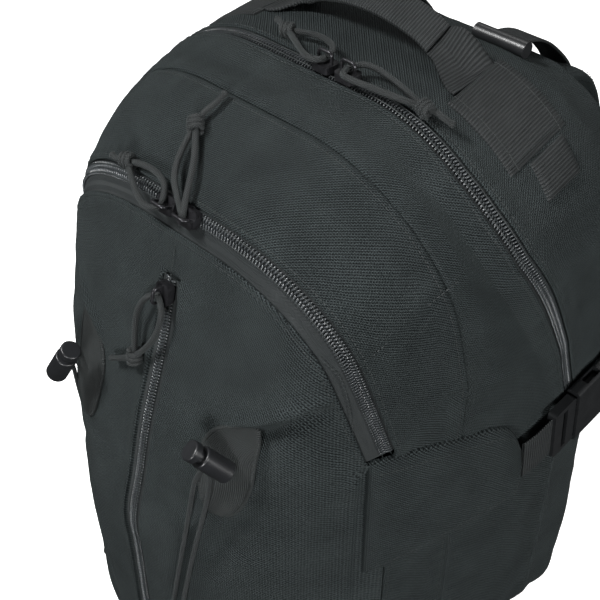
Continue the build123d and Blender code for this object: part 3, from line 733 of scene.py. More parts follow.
def lay_coil(name, curve, across, run):
    """The closed coil: two rows of slanted bars that mesh along the curve."""
    centres, alongs, ups = [], [], []
    for side, start in ((-1, 0.0), (1, 0.5)):
        steps = np.arange(start, run[-1] / COIL_PITCH - 0.5) * COIL_PITCH
        spot = np.stack([np.interp(steps, run, curve[:, axis]) for axis in range(3)], axis=1)
        way = unit(np.stack([np.interp(steps, run, across[:, axis]) for axis in range(3)], axis=1))
        spot = snap(spot)
        up = skin_normals(spot)
        forward = np.cross(up, way)
        slanted = unit(way * side + forward * 0.22)
        centres.append(spot + way * side * 2.15 + up * COIL_RISE)
        alongs.append(slanted)
        ups.append(unit(up - slanted * np.sum(up * slanted, axis=1, keepdims=True)))
    capsules(f"{name}_coil", np.concatenate(centres), np.concatenate(alongs), np.concatenate(ups),
             COIL_BAR, "coil_nylon")


# ---------------- straps and patches
def ribbon(name, path, wide, width, thickness, body="pack", node=None):
    """Flat webbing with soft edges; wide is the direction across it at each point."""
    path = np.asarray(path, float)
    wide = unit(np.broadcast_to(np.asarray(wide, float), path.shape))
    tangents = unit(np.gradient(path, axis=0))
    up = unit(np.cross(tangents, wide))
    half = width / 2
    rim = thickness / 2
    section = [(-half, 0), (-half + 0.3 * rim, 0.8 * rim), (-half + 1.2, rim), (-half / 2, rim), (0, rim),
               (half / 2, rim), (half - 1.2, rim), (half - 0.3 * rim, 0.8 * rim), (half, 0),
               (half - 0.3 * rim, -0.8 * rim), (half - 1.2, -rim), (0, -rim), (-half + 1.2, -rim),
               (-half + 0.3 * rim, -0.8 * rim)]
    points = np.stack([path + wide * a + up * b for a, b in section], axis=1).reshape(-1, 3)
    run = run_along(path)
    uvs = np.array([(length, a) for length in run for a, _ in section])
    faces = grid_faces(len(path), len(section), loop_columns=True)
    faces.append(tuple(range(len(section))))
    faces.append(tuple(range(len(points) - len(section), len(points)))[::-1])
    make_object(name, points, faces, "webbing", body, uvs=uvs, node=node)


def curve_through(points, spacing=2.0):
    """A smooth line through points, by Catmull-Rom spans."""
    points = np.asarray(points, float)
    ends = np.vstack([2 * points[0] - points[1], points, 2 * points[-1] - points[-2]])
    found = []
    for a, b, c, d in zip(ends, ends[1:], ends[2:], ends[3:]):
        for share in np.linspace(0, 1, 12, endpoint=False):
            found.append(0.5 * (2 * b + (c - a) * share + (2 * a - 5 * b + 4 * c - d) * share ** 2
                                + (3 * b - a - 3 * c + d) * share ** 3))
    found.append(points[-1])
    return resample(found, spacing)


def settle(points, axes):
    """Move points along the given axes until they lie on the skin."""
    points = np.array(points, float)
    for _ in range(25):
        offset = points - MIDDLE
        length = np.linalg.norm(offset, axis=-1, keepdims=True)
        growth = skin_distance(offset / length)[..., None] / length
        points[..., axes] = MIDDLE[axes] + offset[..., axes] * growth
    return points


def skin_side(depth, height, sign=1):
    """Skin points on one side of the pack at given depths and heights."""
    return settle(np.stack(np.broadcast_arrays(150.0 * sign, depth, height), axis=-1), [0])


def skin_face(across, height):
    """Skin points on the pocket face at given widths and heights."""
    return settle(np.stack(np.broadcast_arrays(across, -200.0, height), axis=-1), [1])


def skin_over(angles, depth):
    """Skin points over the top at angles from upright and at given depths."""
    reach = 230.0
    start = np.broadcast_arrays(reach * np.sin(angles), depth, MIDDLE[2] + reach * np.cos(angles))
    return settle(np.stack(start, axis=-1), [0, 2])


def raised_patch(name, node, surface, thickness, material, crown=0.0, relief=0.0, seed=0.0):
    """A piece of cloth or webbing sewn on the skin, with rounded rims."""
    rows, columns = surface.shape[:2]
    flat = surface.reshape(-1, 3)
    normals = skin_normals(flat)
    down = np.linalg.norm(np.diff(surface, axis=0, prepend=surface[:1]), axis=2).cumsum(axis=0)
    run = np.linalg.norm(np.diff(surface, axis=1, prepend=surface[:, :1]), axis=2).cumsum(axis=1)
    rim = np.minimum.reduce([down, down[-1] - down, run, run[:, -1:] - run])
    edge = np.clip(rim / (0.9 * thickness), 0, 1)
    height = 0.3 + (thickness - 0.3) * np.sqrt(1 - (1 - edge) ** 2)
    height += crown * np.clip(rim / 25, 0, 1) ** 0.7
    if relief:
        bumps = wrinkles(flat, seed).reshape(rows, columns)
        height += relief * bumps * np.clip(rim / 10, 0, 1)
    points = lift_off(flat, normals, height)
    uvs = np.stack([run, down], axis=-1).reshape(-1, 2)
    faces = outward_faces(points, normals, rows, columns)
    made = make_object(name, points, faces, material, uvs=uvs, node=node)
    return made, points.reshape(rows, columns, 3)


def edge_spaced(low, high, spacing, rim=4.0):
    """Positions between two ends, closer together near the ends."""
    inner = np.arange(low + rim, high - rim, spacing)
    start = low + np.array((0, 0.15, 0.4, 0.8, 1.4, 2.4))
    finish = high - np.array((2.4, 1.4, 0.8, 0.4, 0.15, 0))
    return np.concatenate((start, inner, finish))


# ---------------- cords
# Each pull: its two strands from the bail to the knot, then the cut tail
MAIN_RIGHT_PULL = (
    [(29.5, -41.8, 505.6), (30.5, -34, 506), (38, -30, 506),
     (52, -31, 504.5), (68, -33, 502), (85, -37, 499.5)],
    [(29.5, -41.8, 505.6), (30.5, -50, 506), (38, -52, 506),
     (52, -48, 504.5), (68, -43, 502), (85, -37, 499.5)],
    [(85, -37, 499.5), (91, -34, 498.5), (97, -33.5, 496), (102, -30.5, 492.5)],
)
MAIN_LEFT_PULL = (
    [(10.5, -41.8, 505.6), (9.5, -34, 506), (2, -27, 506),
     (-10, -22, 504.5), (-23, -22, 503), (-37, -27, 502)],
    [(10.5, -41.8, 505.6), (9.5, -50, 506), (0, -49, 506),
     (-12, -42, 504.5), (-24, -34.5, 503), (-37, -27, 502)],
    [(-37, -27, 502), (-44, -25.5, 502), (-50, -21, 501), (-56, -18, 500)],
)
FRONT_LEFT_PULL = (
    [(-9.5, -159.3, 446.2), (-11, -153, 453.5), (-22, -149, 456), (-36, -147, 455.6), (-52, -150, 453.2)],
    [(-9.5, -159.3, 446.2), (-12.5, -164, 443.2), (-22.5, -164.5, 443.5),
     (-38, -158.5, 447.5), (-52, -150, 453.2)],
    [(-52, -150, 453.2), (-58, -148.8, 451.2), (-64, -150, 448.5), (-70, -149, 449)],
)
FRONT_RIGHT_PULL = (
    [(9.5, -159.3, 446.2), (5, -152, 455), (0, -143, 463), (-8, -132, 471), (-20, -121, 480)],
    [(9.5, -159.3, 446.2), (2, -155.5, 453.5), (-9, -149.5, 459.5), (-17, -138, 467), (-20, -121, 480)],
    [(-20, -121, 480), (-21, -113, 485), (-18, -105, 489), (-19, -97, 492)],
)
CENTRE_PULL = (
    [(0, -175.7, 391.6), (-8, -176, 388), (-17, -178.5, 376), (-20, -182, 360), (-16, -187.5, 338)],
    [(0, -175.7, 391.6), (5, -177, 386), (5.5, -181, 372), (-1, -184.5, 356), (-16, -187.5, 338)],
    [(-16, -187.5, 338), (-23, -190, 334), (-30, -190.5, 329), (-37, -192, 326)],
)
PULLS = {
    "main_zip_pull_left": (MAIN_LEFT_PULL, "main_slider_left"),
    "main_zip_pull_right": (MAIN_RIGHT_PULL, "main_slider_right"),
    "front_zip_pull_left": (FRONT_LEFT_PULL, "front_slider_left"),
    "front_zip_pull_right": (FRONT_RIGHT_PULL, "front_slider_right"),
    "centre_zip_pull": (CENTRE_PULL, "centre_slider"),
}
SHOCK_CORD_RIGHT = [
    (65.2, -201, 306.3), (58.5, -203.5, 297), (54.5, -205, 275), (49.5, -208.5, 240), (44, -213, 200),
    (37, -216, 158), (28.5, -218, 118), (19.5, -219, 84), (12.5, -217, 62), (13, -214.3, 50),
    (24, -214.3, 50), (26.5, -217, 62), (31, -218.5, 84), (36.5, -217, 116), (44, -214.5, 155),
    (51, -211, 197), (57.5, -206, 236), (62.5, -200.5, 268), (65.5, -199, 288), (67.6, -199.2, 301.5),
]
SHOCK_CORD_LEFT = [
    (-76.9, -205, 308.8), (-83.5, -199.5, 304.5), (-90, -193, 293), (-95.5, -187.5, 276),
    (-100.9, -184, 255), (-105.1, -179.7, 225), (-107.1, -177.3, 190), (-107.1, -177.3, 150),
    (-105.1, -179.7, 112), (-101, -184, 84), (-97.9, -187, 66), (-98.4, -185.7, 51.6),
    (-109.7, -173.8, 51.7), (-112.2, -170.9, 66), (-115.3, -166.6, 86), (-118.3, -162.3, 114),
    (-119.4, -160.7, 150), (-119.4, -160.7, 190), (-116.3, -165.2, 225), (-110.2, -173.5, 255),
    (-104.5, -181.5, 279), (-93, -189.5, 301), (-81.5, -196.5, 313), (-73.5, -203.9, 314.8),
]


def knot_wraps(name, strand, body):
    """The tight wraps of a pull's knot round the ends of its strands."""
    end = strand[-1]
    axis = unit(strand[-1] - strand[-8])
    side = unit(np.cross(axis, (0.2, 0.1, 1.0)))
    up = np.cross(axis, side)
    turns = 3.2
    shares = np.linspace(0, 1, 90)
    angle = 2 * math.pi * turns * shares
    swell = 3.5 + 0.5 * np.sin(math.pi * shares)
    wraps = (end + np.outer((shares - 0.5) * 9.5, axis)
             + (np.cos(angle) * swell)[:, None] * side + (np.sin(angle) * swell)[:, None] * up)
    bridge = (end + np.outer((0.5 - shares) * 10.5, axis)
              + (np.sin(math.pi * shares) * 5.4)[:, None] * up
              + (np.cos(math.pi * shares) * 3.0)[:, None] * side)
    made = tube(f"{name}_knot", wraps, 1.7, "paracord", body)
    over = tube(f"{name}_knot_bridge", bridge, 1.6, "paracord", body)
    return [made, over]


def pull_cords():
    """The five looped pulls: two strands to a knot, and a frayed tail beyond it."""
    for name, ((strand_one, strand_two, tail), body) in PULLS.items():
        first = smooth_route(strand_one)
        second = smooth_route(strand_two + tail[1:])
        one = tube(f"{name}_cord", first, CORD / 2, "paracord", body, node=name)
        fray = np.full(len(second), CORD / 2)
        fray[-4:] = (1.9, 2.1, 2.4, 2.2)
        two = tube(f"{name}_second", second, fray, "paracord", body, node=name)
        knot = knot_wraps(name, first, body)


def shock_cords():
    """Elastic cord from each lock down round its anchor loop and back."""
    for side, route in (("right", SHOCK_CORD_RIGHT), ("left", SHOCK_CORD_LEFT)):
        path = smooth_route(route, 2.5)
        made = tube(f"elastic_{side}", path, SHOCK_CORD / 2, "elastic_cord", node=f"shock_cord_{side}")


# ---------------- sewn body
MAIN_ZIP_END = 266.0
FRONT_ZIP_END = 303.0
POCKET_POINT = np.array((0.0, -216.0, 150.0))
BACK_POINT = np.array((0.0, 104.0, 240.0))
# On each side of the pocket: the pleat from the cord tab up to the side edge, the hollow and
# the dart below it, and the sewn side edge
PLEAT = [(56, -184, 316), (70, -177, 328), (85, -170, 335), (103, -157, 349), (119, -135, 362),
         (124, -128, 366)]
DART = [(92, -172, 334), (93, -178, 300), (84, -187, 258), (64, -196, 214), (58, -198, 190)]
POCKET_EDGE = [(112, -145, 392), (120, -134, 366), (124, -128, 303), (122, -131, 185), (124, -133, 90)]
CENTRE_SEAM = [(0, -151, 440), (0, -166, 416), (0, -174, 396)]
# Swells and hollows of each half of the pocket: route, height, half width
POCKET_SWELLS = [
    ([(106, -160, 322), (112, -152, 270), (108, -160, 200)], 4.0, 14.0),
    ([(70, -196, 232), (92, -184, 214), (104, -170, 186)], -2.6, 7.0),
    ([(40, -205, 250), (46, -206, 190), (48, -206, 120)], 3.0, 30.0),
    ([(18, -190, 350), (40, -184, 362), (70, -168, 380)], 1.8, 12.0),
]
CROSS_SEAM = [(124, -128, 381), (133, -105, 400), (140, -88, 414), (146, -72, 424)]


def mirror_line(line, sign):
    """A line on the right, or its image on the left."""
    return np.array(line, float) * (sign, 1, 1)


# Cloth beside the centre zip: distance from the zip's middle, and height
CENTRE_PROFILE = ((0, -4.6), (6.2, -4.6), (7.0, -1.0), (8.0, 1.6), (9.0, 2.3), (11.5, 1.5),
                  (14, 0.8), (22, 0))


def pocket_relief(points, wrinkled):
    """Side edges, pleats, darts, the opening of the centre zip and the swell of the contents."""
    height = wrinkled + fold(points, CENTRE_SEAM, -1.6, 2.6)
    for sign in (1, -1):
        edge = mirror_line(POCKET_EDGE, sign)
        height += fold(points, edge, 2.4, 4.0)
        height += fold(points, edge + (sign * 5, 5, 0), -2.2, 4.0)
        pleat = mirror_line(PLEAT, sign)
        height += fold(points, pleat + (0, 0, 4), 4.6, 5.0)
        height += fold(points, pleat - (0, 0, 8), -7.5, 6.5)
        height += fold(points, mirror_line(DART, sign), -5.5, 8.0)
        for line, lift, width in POCKET_SWELLS:
            height += fold(points, mirror_line(line, sign), lift, width)
    aside = np.abs(points[:, 0])
    beside_zip = np.clip((402 - points[:, 2]) / 6, 0, 1) * np.clip((points[:, 2] - 54) / 6, 0, 1)
    beside_zip = beside_zip * (points[:, 1] < -100)
    distances, profile = np.array(CENTRE_PROFILE).T
    calm = 1 - beside_zip * np.clip((20 - aside) / 12, 0, 1)
    return height * calm + beside_zip * np.interp(aside, distances, profile)


def middle_relief(points, wrinkled):
    """The short cross seam on each side of the middle panel."""
    height = wrinkled
    for sign in (1, -1):
        height = height + fold(points, mirror_line(CROSS_SEAM, sign), -1.8, 2.8)
    return height


def seam_threads():
    """Stitches beside the seams that cross a panel."""
    heights = np.arange(396.0, 60.0, -3.0)
    lines = {"centre": CENTRE_SEAM}
    for side, across in (("right", 10.4), ("left", -10.4)):
        lines[f"zip_{side}"] = skin_face(np.full(len(heights), across), heights)
    for side, sign in SIDES:
        lines[f"cross_{side}"] = mirror_line(CROSS_SEAM, sign) + (0, 0, 4)
        lines[f"pocket_side_{side}"] = mirror_line(POCKET_EDGE, sign) + (-sign * 3, 0, 0)
    for label, line in lines.items():
        path = snap(curve_through(line))
        stitches(f"seam_stitches_{label}", path + skin_normals(path) * 1.9)


def body_panels():
    """The four sewn shells, each as one continuous sheet of stuffed cloth."""
    main_angles = even_angles(MAIN_SEAM, COLUMNS)
    rows, lifts = edge_rows(MAIN_SEAM, main_angles, -1, 5.4, MAIN_ZIP_END, ROLLED_EDGE)
    fill_rows(rows, lifts, seam_curve(REAR_RIM, main_angles))
    fill_rows(rows, lifts, BACK_POINT)
    points = raise_panel("rear_cloth", "rear_compartment", rows, lifts, 1.0, (True, False))
    stitches("rear_edge_stitches", points[6])

    rows, lifts = edge_rows(MAIN_SEAM, main_angles, 1, 6.0, MAIN_ZIP_END, ROLLED_EDGE)
    arch_angles = even_angles(ARCH_SEAM, COLUMNS)
    close_rows(rows, lifts, *edge_rows(ARCH_SEAM, arch_angles, -1, 0, 0, SEWN_EDGE))
    points = raise_panel("gusset_cloth", "front_gusset", rows, lifts, 2.0)
    stitches("gusset_edge_stitches", points[6])

    rows, lifts = edge_rows(ARCH_SEAM, arch_angles, 1, 0, 0, SEWN_EDGE)
    front_angles = even_angles(FRONT_SEAM, COLUMNS)
    close_rows(rows, lifts, *edge_rows(FRONT_SEAM, front_angles, -1, 5.6, FRONT_ZIP_END, ROLLED_EDGE))
    points = raise_panel("middle_cloth", "middle_panel", rows, lifts, 3.0, extra=middle_relief)
    stitches("middle_seam_stitches", points[4])
    stitches("middle_edge_stitches", points[-7])

    rows, lifts = edge_rows(FRONT_SEAM, front_angles, 1, 14.0, FRONT_ZIP_END, ROLLED_EDGE)
    fill_rows(rows, lifts, POCKET_POINT)
    points = raise_panel("pocket_cloth", "front_pocket", rows, lifts, 4.0, (True, False),
                         pocket_relief, flat_uv=True)
    stitches("pocket_edge_stitches", points[6])


def zips():
    """The three zips."""
    arch_zip("main_zip", "main_zip_tape", MAIN_SEAM, MAIN_ZIP_END, (11.0, 11.0))
    arch_zip("front_zip", "front_zip_tape", FRONT_SEAM, FRONT_ZIP_END, (10.0, 19.0))
    heights = np.arange(398.0, 60.0, -2.0)
    curve = skin_face(np.zeros(len(heights)), heights)
    lay_zip("centre_zip", "centre_zip_tape", curve, (9.0, 9.0), np.broadcast_to((1.0, 0.0, 0.0), curve.shape))


# ---------------- side wings and compression straps
WING_TOP = [(-121, 300), (-89, 300), (-62, 297), (-39, 294), (-26, 288), (-19, 280), (0, 240)]
WING_LOW = [(-121, 186), (-95, 191), (-67, 199), (-37, 206), (-14, 208), (-3, 211), (0, 221)]


def wing_outline(depths):
    """Upper and lower heights of a side wing at each depth."""
    top_depths, top_heights = np.array(WING_TOP, float).T
    low_depths, low_heights = np.array(WING_LOW, float).T
    return np.interp(depths, top_depths, top_heights), np.interp(depths, low_depths, low_heights)


def side_wings():
    """Padded wings that the side straps pull on."""
    depths = edge_spaced(-121.0, 0.0, 3.0)
    upper, lower = wing_outline(depths)
    shares = edge_spaced(0.0, 100.0, 3.0) / 100
    heights = lower + (upper - lower) * shares[:, None]
    for side, sign in SIDES:
        surface = skin_side(depths[None], heights, sign)
        made, points = raised_patch(f"wing_{side}", "compression_wings", surface, 4.2, "body_fabric",
                                    crown=1.6, relief=0.8, seed=6.0)
        inner = points[7:-7, 7:-7]
        for label, line in (("top", inner[-1]), ("bottom", inner[0]), ("rear", inner[:, -1])):
            stitches(f"wing_stitch_{label}_{side}", line)


COMPRESSION_AT = np.array((176.0, 42.0, 256.0))
COMPRESSION_WIDTH = 38.0
SLOPE = math.radians(8.0)
# Distance behind the buckle, and distance from the pack's middle plane
REAR_STRAP_ROUTE = [(47.3, 176), (51, 176), (56, 171), (61, 162), (65, 150.5)]
STRAP_WAY = np.array((0.0, math.cos(SLOPE), math.sin(SLOPE)))
STRAP_ACROSS = np.array((0.0, -math.sin(SLOPE), math.cos(SLOPE)))


def side_straps():
    """Webbing in front of and behind each side buckle."""
    for side, sign in SIDES:
        flip = np.array((sign, 1, 1))
        along = np.linspace(-53.0, -18.5, 20)
        dip = np.clip((-34 - along) / 19, 0, 1)
        path = COMPRESSION_AT + along[:, None] * STRAP_WAY - dip[:, None] ** 2 * (2.2, 0, 0)
        ribbon(f"side_strap_{side}", path * flip, STRAP_ACROSS, COMPRESSION_WIDTH, WEBBING_THICK,
               f"side_plug_{side}", f"compression_webbing_{side}")
        _, start_y, start_z = COMPRESSION_AT
        rear = curve_through([(x, start_y + y * STRAP_WAY[1], start_z + y * STRAP_WAY[2])
                              for y, x in REAR_STRAP_ROUTE])
        ribbon(f"rear_side_strap_{side}", rear * flip, STRAP_ACROSS, COMPRESSION_WIDTH, WEBBING_THICK,
               node="rear_compression_straps")


# ---------------- top: handle, patches and loops
HANDLE_Y = 16.0
HANDLE_ROUTE = [(-50, 511), (-40, 516), (-20, 520.5), (0, 522), (20, 520.5), (40, 516), (50, 511)]
HANDLE_TILT = math.radians(25)  # the grip leans forwards
PATCH_TURN = 0.00054  # radians of splay round the crown for each millimetre of depth


def handle_end(side, sign):
    """The webbing beyond the grip: it opens out from the fold and runs flat under the patch."""
    shares = np.linspace(0, 1, 26)[:, None]
    across = np.linspace(-1, 1, 19)[None]
    ease = shares ** 2 * (3 - 2 * shares)
    widths = 50.0 + 31.0 * shares + 0 * across
    depths = HANDLE_Y + across * (10.9 + 10.6 * ease)
    leaning = 511.0 + 5.0 * across
    lying = 496.6 - 1.2 * np.abs(across)
    arch = np.sin(math.pi * shares) * (6.5 * np.maximum(across, 0) - 2.0 * (1 - np.abs(across)))
    heights = leaning * (1 - ease) + lying * ease + arch
    points = np.stack([widths * sign, depths, heights], axis=-1)
    normals = np.broadcast_to((0.0, 0.0, 1.0), points.reshape(-1, 3).shape)
    uvs = np.stack([widths, np.broadcast_to(across * 22.0, widths.shape)], axis=-1).reshape(-1, 2)
    flat = points.reshape(-1, 3)
    faces = outward_faces(flat, normals, *points.shape[:2])
    made = make_object(f"handle_end_{side}", flat, faces, "webbing", uvs=uvs, node="handle_ends")
    thicken(made, 2.2)


def grab_handle():
    """Webbing grip, doubled over along its middle, and its sewn ends."""
    path = curve_through([(x, HANDLE_Y, z) for x, z in HANDLE_ROUTE])
    wide = (0, math.cos(HANDLE_TILT), math.sin(HANDLE_TILT))
    ribbon("handle_grip", path, wide, 24.0, 4.2, "handle", "grab_handle")
    for side, sign in SIDES:
        handle_end(side, sign)


# Name, node, angles from the top in degrees, front and back depth, thickness
TOP_PATCHES = (
    ("patch", "webbing_patches", 18.0, 31.2, -13.5, 46.0, 3.0),
    ("loop", "loop_tabs", 31.4, 37.2, 3.0, 38.0, 4.4),
)


def top_patches():
    """Ribbed webbing patches beside the handle, with a small loop tab beyond each."""
    for side, sign in SIDES:
        for name, node, low, high, front, back, thickness in TOP_PATCHES:
            depths = edge_spaced(front, back, 3.0)
            steps = edge_spaced(0.0, 100.0, 4.0) / 100
            angles = np.radians(low + (high - low) * steps)[None] - PATCH_TURN * (depths - HANDLE_Y)[:, None]
            surface = skin_over(angles * sign, depths[:, None])
            _, points = raised_patch(f"{name}_{side}", node, surface, thickness, "webbing")
            if name == "patch":
                for label, line in (("front", points[7, 5:-5]), ("back", points[-8, 5:-5]),
                                    ("inner", points[5:-5, 6]), ("outer", points[5:-5, -7])):
                    stitches(f"patch_stitch_{label}_{side}", line, spacing=2.4)


# ---------------- pocket: cord tabs and anchors
# Height, middle and half width of a cord tab, from its lower tip upwards
TAB_OUTLINE = ((257.0, 67.0, 0.5), (262.0, 67.0, 7.5), (270.0, 67.0, 12.5), (288.0, 67.0, 17.0),
               (308.0, 67.0, 18.0), (324.0, 72.0, 13.5), (334.0, 81.0, 2.0))


def cord_tabs():
    """Leaf-shaped tabs under the cord locks, with a bound rim."""
    heights = np.linspace(TAB_OUTLINE[0][0], TAB_OUTLINE[-1][0], 44)
    outline = curve_through(TAB_OUTLINE, 1.0)
    centre = np.interp(heights, outline[:, 0], outline[:, 1])
    half = np.interp(heights, outline[:, 0], outline[:, 2])
    across = np.concatenate((np.linspace(-1, -0.82, 5), np.linspace(-0.7, 0.7, 9), np.linspace(0.82, 1, 5)))
    for side, sign in SIDES:
        widths = sign * (centre[:, None] + half[:, None] * across[None])
        surface = skin_face(widths, np.broadcast_to(heights[:, None], widths.shape))
        _, points = raised_patch(f"cord_tab_{side}", "cord_tabs", surface, 3.6, "tab_trim")
        rim = np.concatenate((points[1:-1, 1], points[-2:0:-1, -2]))
        tube(f"cord_tab_rim_{side}", resample(rim, 2.0), 1.5, "tab_trim", "pack", 8)


ANCHOR_ROUTE = [(-216.4, 63), (-218.4, 57), (-218.8, 50), (-215.6, 44), (-206.9, 39.2)]
LEFT_ANCHOR_ROUTE = [(-1.3, 63), (-4.5, 57), (-6.3, 50), (-3.4, 44), (1.5, 39.2)]
LEFT_ANCHOR_TURN = math.radians(-47)


def cord_anchors():
    """Loops of narrow webbing at the lower end of each elastic cord."""
    path = curve_through([(18.5, y, z) for y, z in ANCHOR_ROUTE])
    ribbon("cord_anchor_right", path, (1, 0, 0), 6.0, 1.4, node="shock_cord_anchors")
    turn = np.array(Matrix.Rotation(LEFT_ANCHOR_TURN, 3, "Z"))
    path = curve_through([(0, y, z) for y, z in LEFT_ANCHOR_ROUTE]) @ turn.T + (-102.0, -178.9, 0)
    ribbon("cord_anchor_left", path, turn @ (1, 0, 0), 6.0, 1.4, node="shock_cord_anchors")


# ---------------- harness
def cushion(name, nodes, material, body, voxel=3.0, swell=1.2, rounds=6):
    """A padded piece grown from its plain solid: remeshed, rounded and slightly uneven."""
    copy = NODES[nodes[0]].data.copy()
    made = bpy.data.objects.new(name, copy)
    bpy.context.scene.collection.objects.link(made)
    remesh = made.modifiers.new("remesh", "REMESH")
    remesh.mode = "VOXEL"
    remesh.voxel_size = voxel * MM
    smooth = made.modifiers.new("smooth", "SMOOTH")
    smooth.iterations = rounds
    smooth.factor = 0.7
    graph = bpy.context.evaluated_depsgraph_get()
    shaped = bpy.data.meshes.new_from_object(made.evaluated_get(graph))
    made.modifiers.clear()
    made.data = shaped
    for vertex in shaped.vertices:
        place = vertex.co / MM
        lift = swell * (0.5 + noise.noise(place / 24)) + 0.35 * noise.noise(place / 7)
        vertex.co += vertex.normal * lift * MM
    layer = shaped.uv_layers.get("cloth") or shaped.uv_layers.new(name="cloth")
    for loop in shaped.loops:
        place = shaped.vertices[loop.vertex_index].co / MM
        layer.data[loop.index].uv = (place.x * UV_UNIT, (place.z + 0.6 * place.y) * UV_UNIT)
    shaped.shade_smooth()
    shaped.materials.clear()
    shaped.materials.append(PALETTE[material])
    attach(made, body)
    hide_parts(*nodes)
    return made


STRAP_ROOT = np.array((62.0, 0.0, 458.0))
STRAP_SPLAY = math.radians(7.0)
STRAP_WIDE = np.array((1.0, 0.0, 0.0))  # across a shoulder strap before it is splayed
PAD_HALF_WIDTH = 31.5
PAD_HALF_DEPTH = 6.2
PAD_AROUND = 36  # points round a shoulder pad
SHOULDER_ROUTE = [(104.5, 458), (114, 458), (130, 451), (142, 432), (149, 400), (151, 360), (150, 310),
                  (145, 260), (139, 218)]
LOWER_WEBBING_ROUTE = [(139, 205), (138, 196), (135, 175), (127, 150), (117, 132), (109, 125), (104.5, 124)]


def splayed(points, sign):
    """Turn points built at x = 0 into a shoulder strap's splayed place."""
    turned = np.array(Matrix.Rotation(-STRAP_SPLAY, 3, "Y"))
    placed = (points - (0, 0, STRAP_ROOT[2])) @ turned.T + STRAP_ROOT
    return placed * (sign, 1, 1)


def pad_section(turn):
    """Half width, half thickness and crown of a shoulder pad round its section."""
    half_x = PAD_HALF_WIDTH * np.sign(np.cos(turn)) * np.abs(np.cos(turn)) ** 0.45
    half_y = PAD_HALF_DEPTH * np.sign(np.sin(turn)) * np.abs(np.sin(turn)) ** 0.75
    crown = 0.8 * (1 - (half_x / 32) ** 2) * np.sign(half_y)
    return half_x, half_y + crown


def shoulder_pad(side, sign, route, ups):
    """One padded strap along its route, tapered at both ends and slightly uneven."""
    turn = np.linspace(0, 2 * math.pi, PAD_AROUND, endpoint=False)
    half_x, half_y = pad_section(turn)
    run = run_along(route)
    end = np.clip(np.minimum(run, run[-1] - run) / 7.0, 0, 1)
    taper = (0.55 + 0.45 * np.sqrt(1 - (1 - end) ** 2))[:, None, None]
    points = (route[:, None] + STRAP_WIDE * half_x[None, :, None] * (0.93 + 0.07 * taper)
              + ups[:, None] * (half_y[None, :, None] * taper))
    points = splayed(points.reshape(-1, 3), sign)
    bumps = np.array([noise.noise(Vector(point) / 26) + 0.35 * noise.noise(Vector(point) / 8)
                      for point in points])
    centres = splayed(np.repeat(route, PAD_AROUND, axis=0), sign)
    points = points + unit(points - centres) * (0.5 * bumps)[:, None]
    uvs = np.stack(np.meshgrid(run, turn * 20, indexing="ij"), axis=-1).reshape(-1, 2)
    made = make_object(f"shoulder_pad_{side}", points, capped_faces(len(route), PAD_AROUND),
                       "strap_padding", uvs=uvs, node=f"shoulder_strap_{side}")


def shoulder_stitches(side, sign, route, ups):
    """The two rows of stitches along a shoulder pad's edges."""
    for label, edge in (("inner", -27.5), ("outer", 27.5)):
        line = splayed(route[2:-2] + STRAP_WIDE * edge + ups[2:-2] * 5.6, sign)
        path = resample(line, 3.4)
        facing = np.broadcast_to((0.0, 1.0, 0.0), path.shape)
        capsules(f"shoulder_stitch_{label}_{side}", path, unit(np.gradient(path, axis=0)), facing,
                 (2.4, 0.7, 0.7), "thread")


def shoulder_straps():
    """Padded S-shaped straps with webbing down their middle, and the lower webbing."""
    for side, sign in SIDES:
        route = curve_through([(0, y, z) for y, z in SHOULDER_ROUTE], 3.0)
        tangents = unit(np.gradient(route, axis=0))
        ups = unit(np.cross(STRAP_WIDE, tangents))
        ups = ups * np.sign(ups[len(ups) // 2, 1])
        shoulder_pad(side, sign, route, ups)
        face = route + ups * 7.2
        ribbon(f"shoulder_webbing_{side}", splayed(face[12:-2], sign), (1, 0, 0.12 * -sign), STRAP_WEBBING,
               1.2)
        shoulder_stitches(side, sign, route, ups)
        lower = curve_through([(0, y, z) for y, z in LOWER_WEBBING_ROUTE])
        ribbon(f"lower_strap_{side}", splayed(lower, sign), (1, 0, 0), STRAP_WEBBING, WEBBING_THICK,
               node="lower_strap_webbing")


def load_lifters():
    """Webbing from the top rollers to the shoulder straps."""
    route = [(73.7, 496), (92, 491.5), (107, 484), (121, 473), (134, 460.5), (144, 446.5), (149, 438.5)]
    for side, sign in SIDES:
        path = curve_through([(sign * 61.0, y, z) for y, z in route])
        ribbon(f"load_lifter_{side}", path, (1, 0, 0), STRAP_WEBBING, WEBBING_THICK,
               node="load_lifter_webbing")


# Name, node, body, side, depth, height, width
FLAT_STRAPS = (
    ("sternum_strap_right", "sternum_webbing_right", "sternum_plug", 1, 159.7, 358, 20.0),
    ("sternum_strap_left", "sternum_webbing_left", "pack", -1, 159.7, 358, 20.0),
    ("belt_strap_right", "waist_webbing_right", "belt_wing_right", 1, 123, 67, STRAP_WEBBING),
    ("belt_strap_left", "waist_webbing_left", "belt_wing_left", -1, 123, 67, STRAP_WEBBING),
)


def flat_straps():
    """Straight webbing of the sternum strap and of the waist belt."""
    for name, node, body, side, depth, height, width in FLAT_STRAPS:
        low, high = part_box(node)
        path = resample([(end / MM, depth, height) for end in (low.x, high.x)[::side]], 2.5)
        ribbon(name, path, (0, 0, 1), width, WEBBING_THICK, body, node)


def pads():
    """Foam pads on the wearer's side and the folded belt wings."""
    cushion("back_padding", ["back_pads"], "back_mesh", "pack")
    sheet = cushion("bottom_sheet", ["base_panel"], "base_fabric", "pack", 2.0, 0.2, 2)
    for vertex in sheet.data.vertices:
        vertex.co.z = max(vertex.co.z, 0.0)
    cushion("belt_anchors", ["belt_anchor_tabs"], "body_fabric", "pack", 2.0, 0.3, 3)
    for side in ("left", "right"):
        cushion(f"belt_pad_{side}", [f"waist_wing_{side}"], "back_mesh", f"belt_wing_{side}")


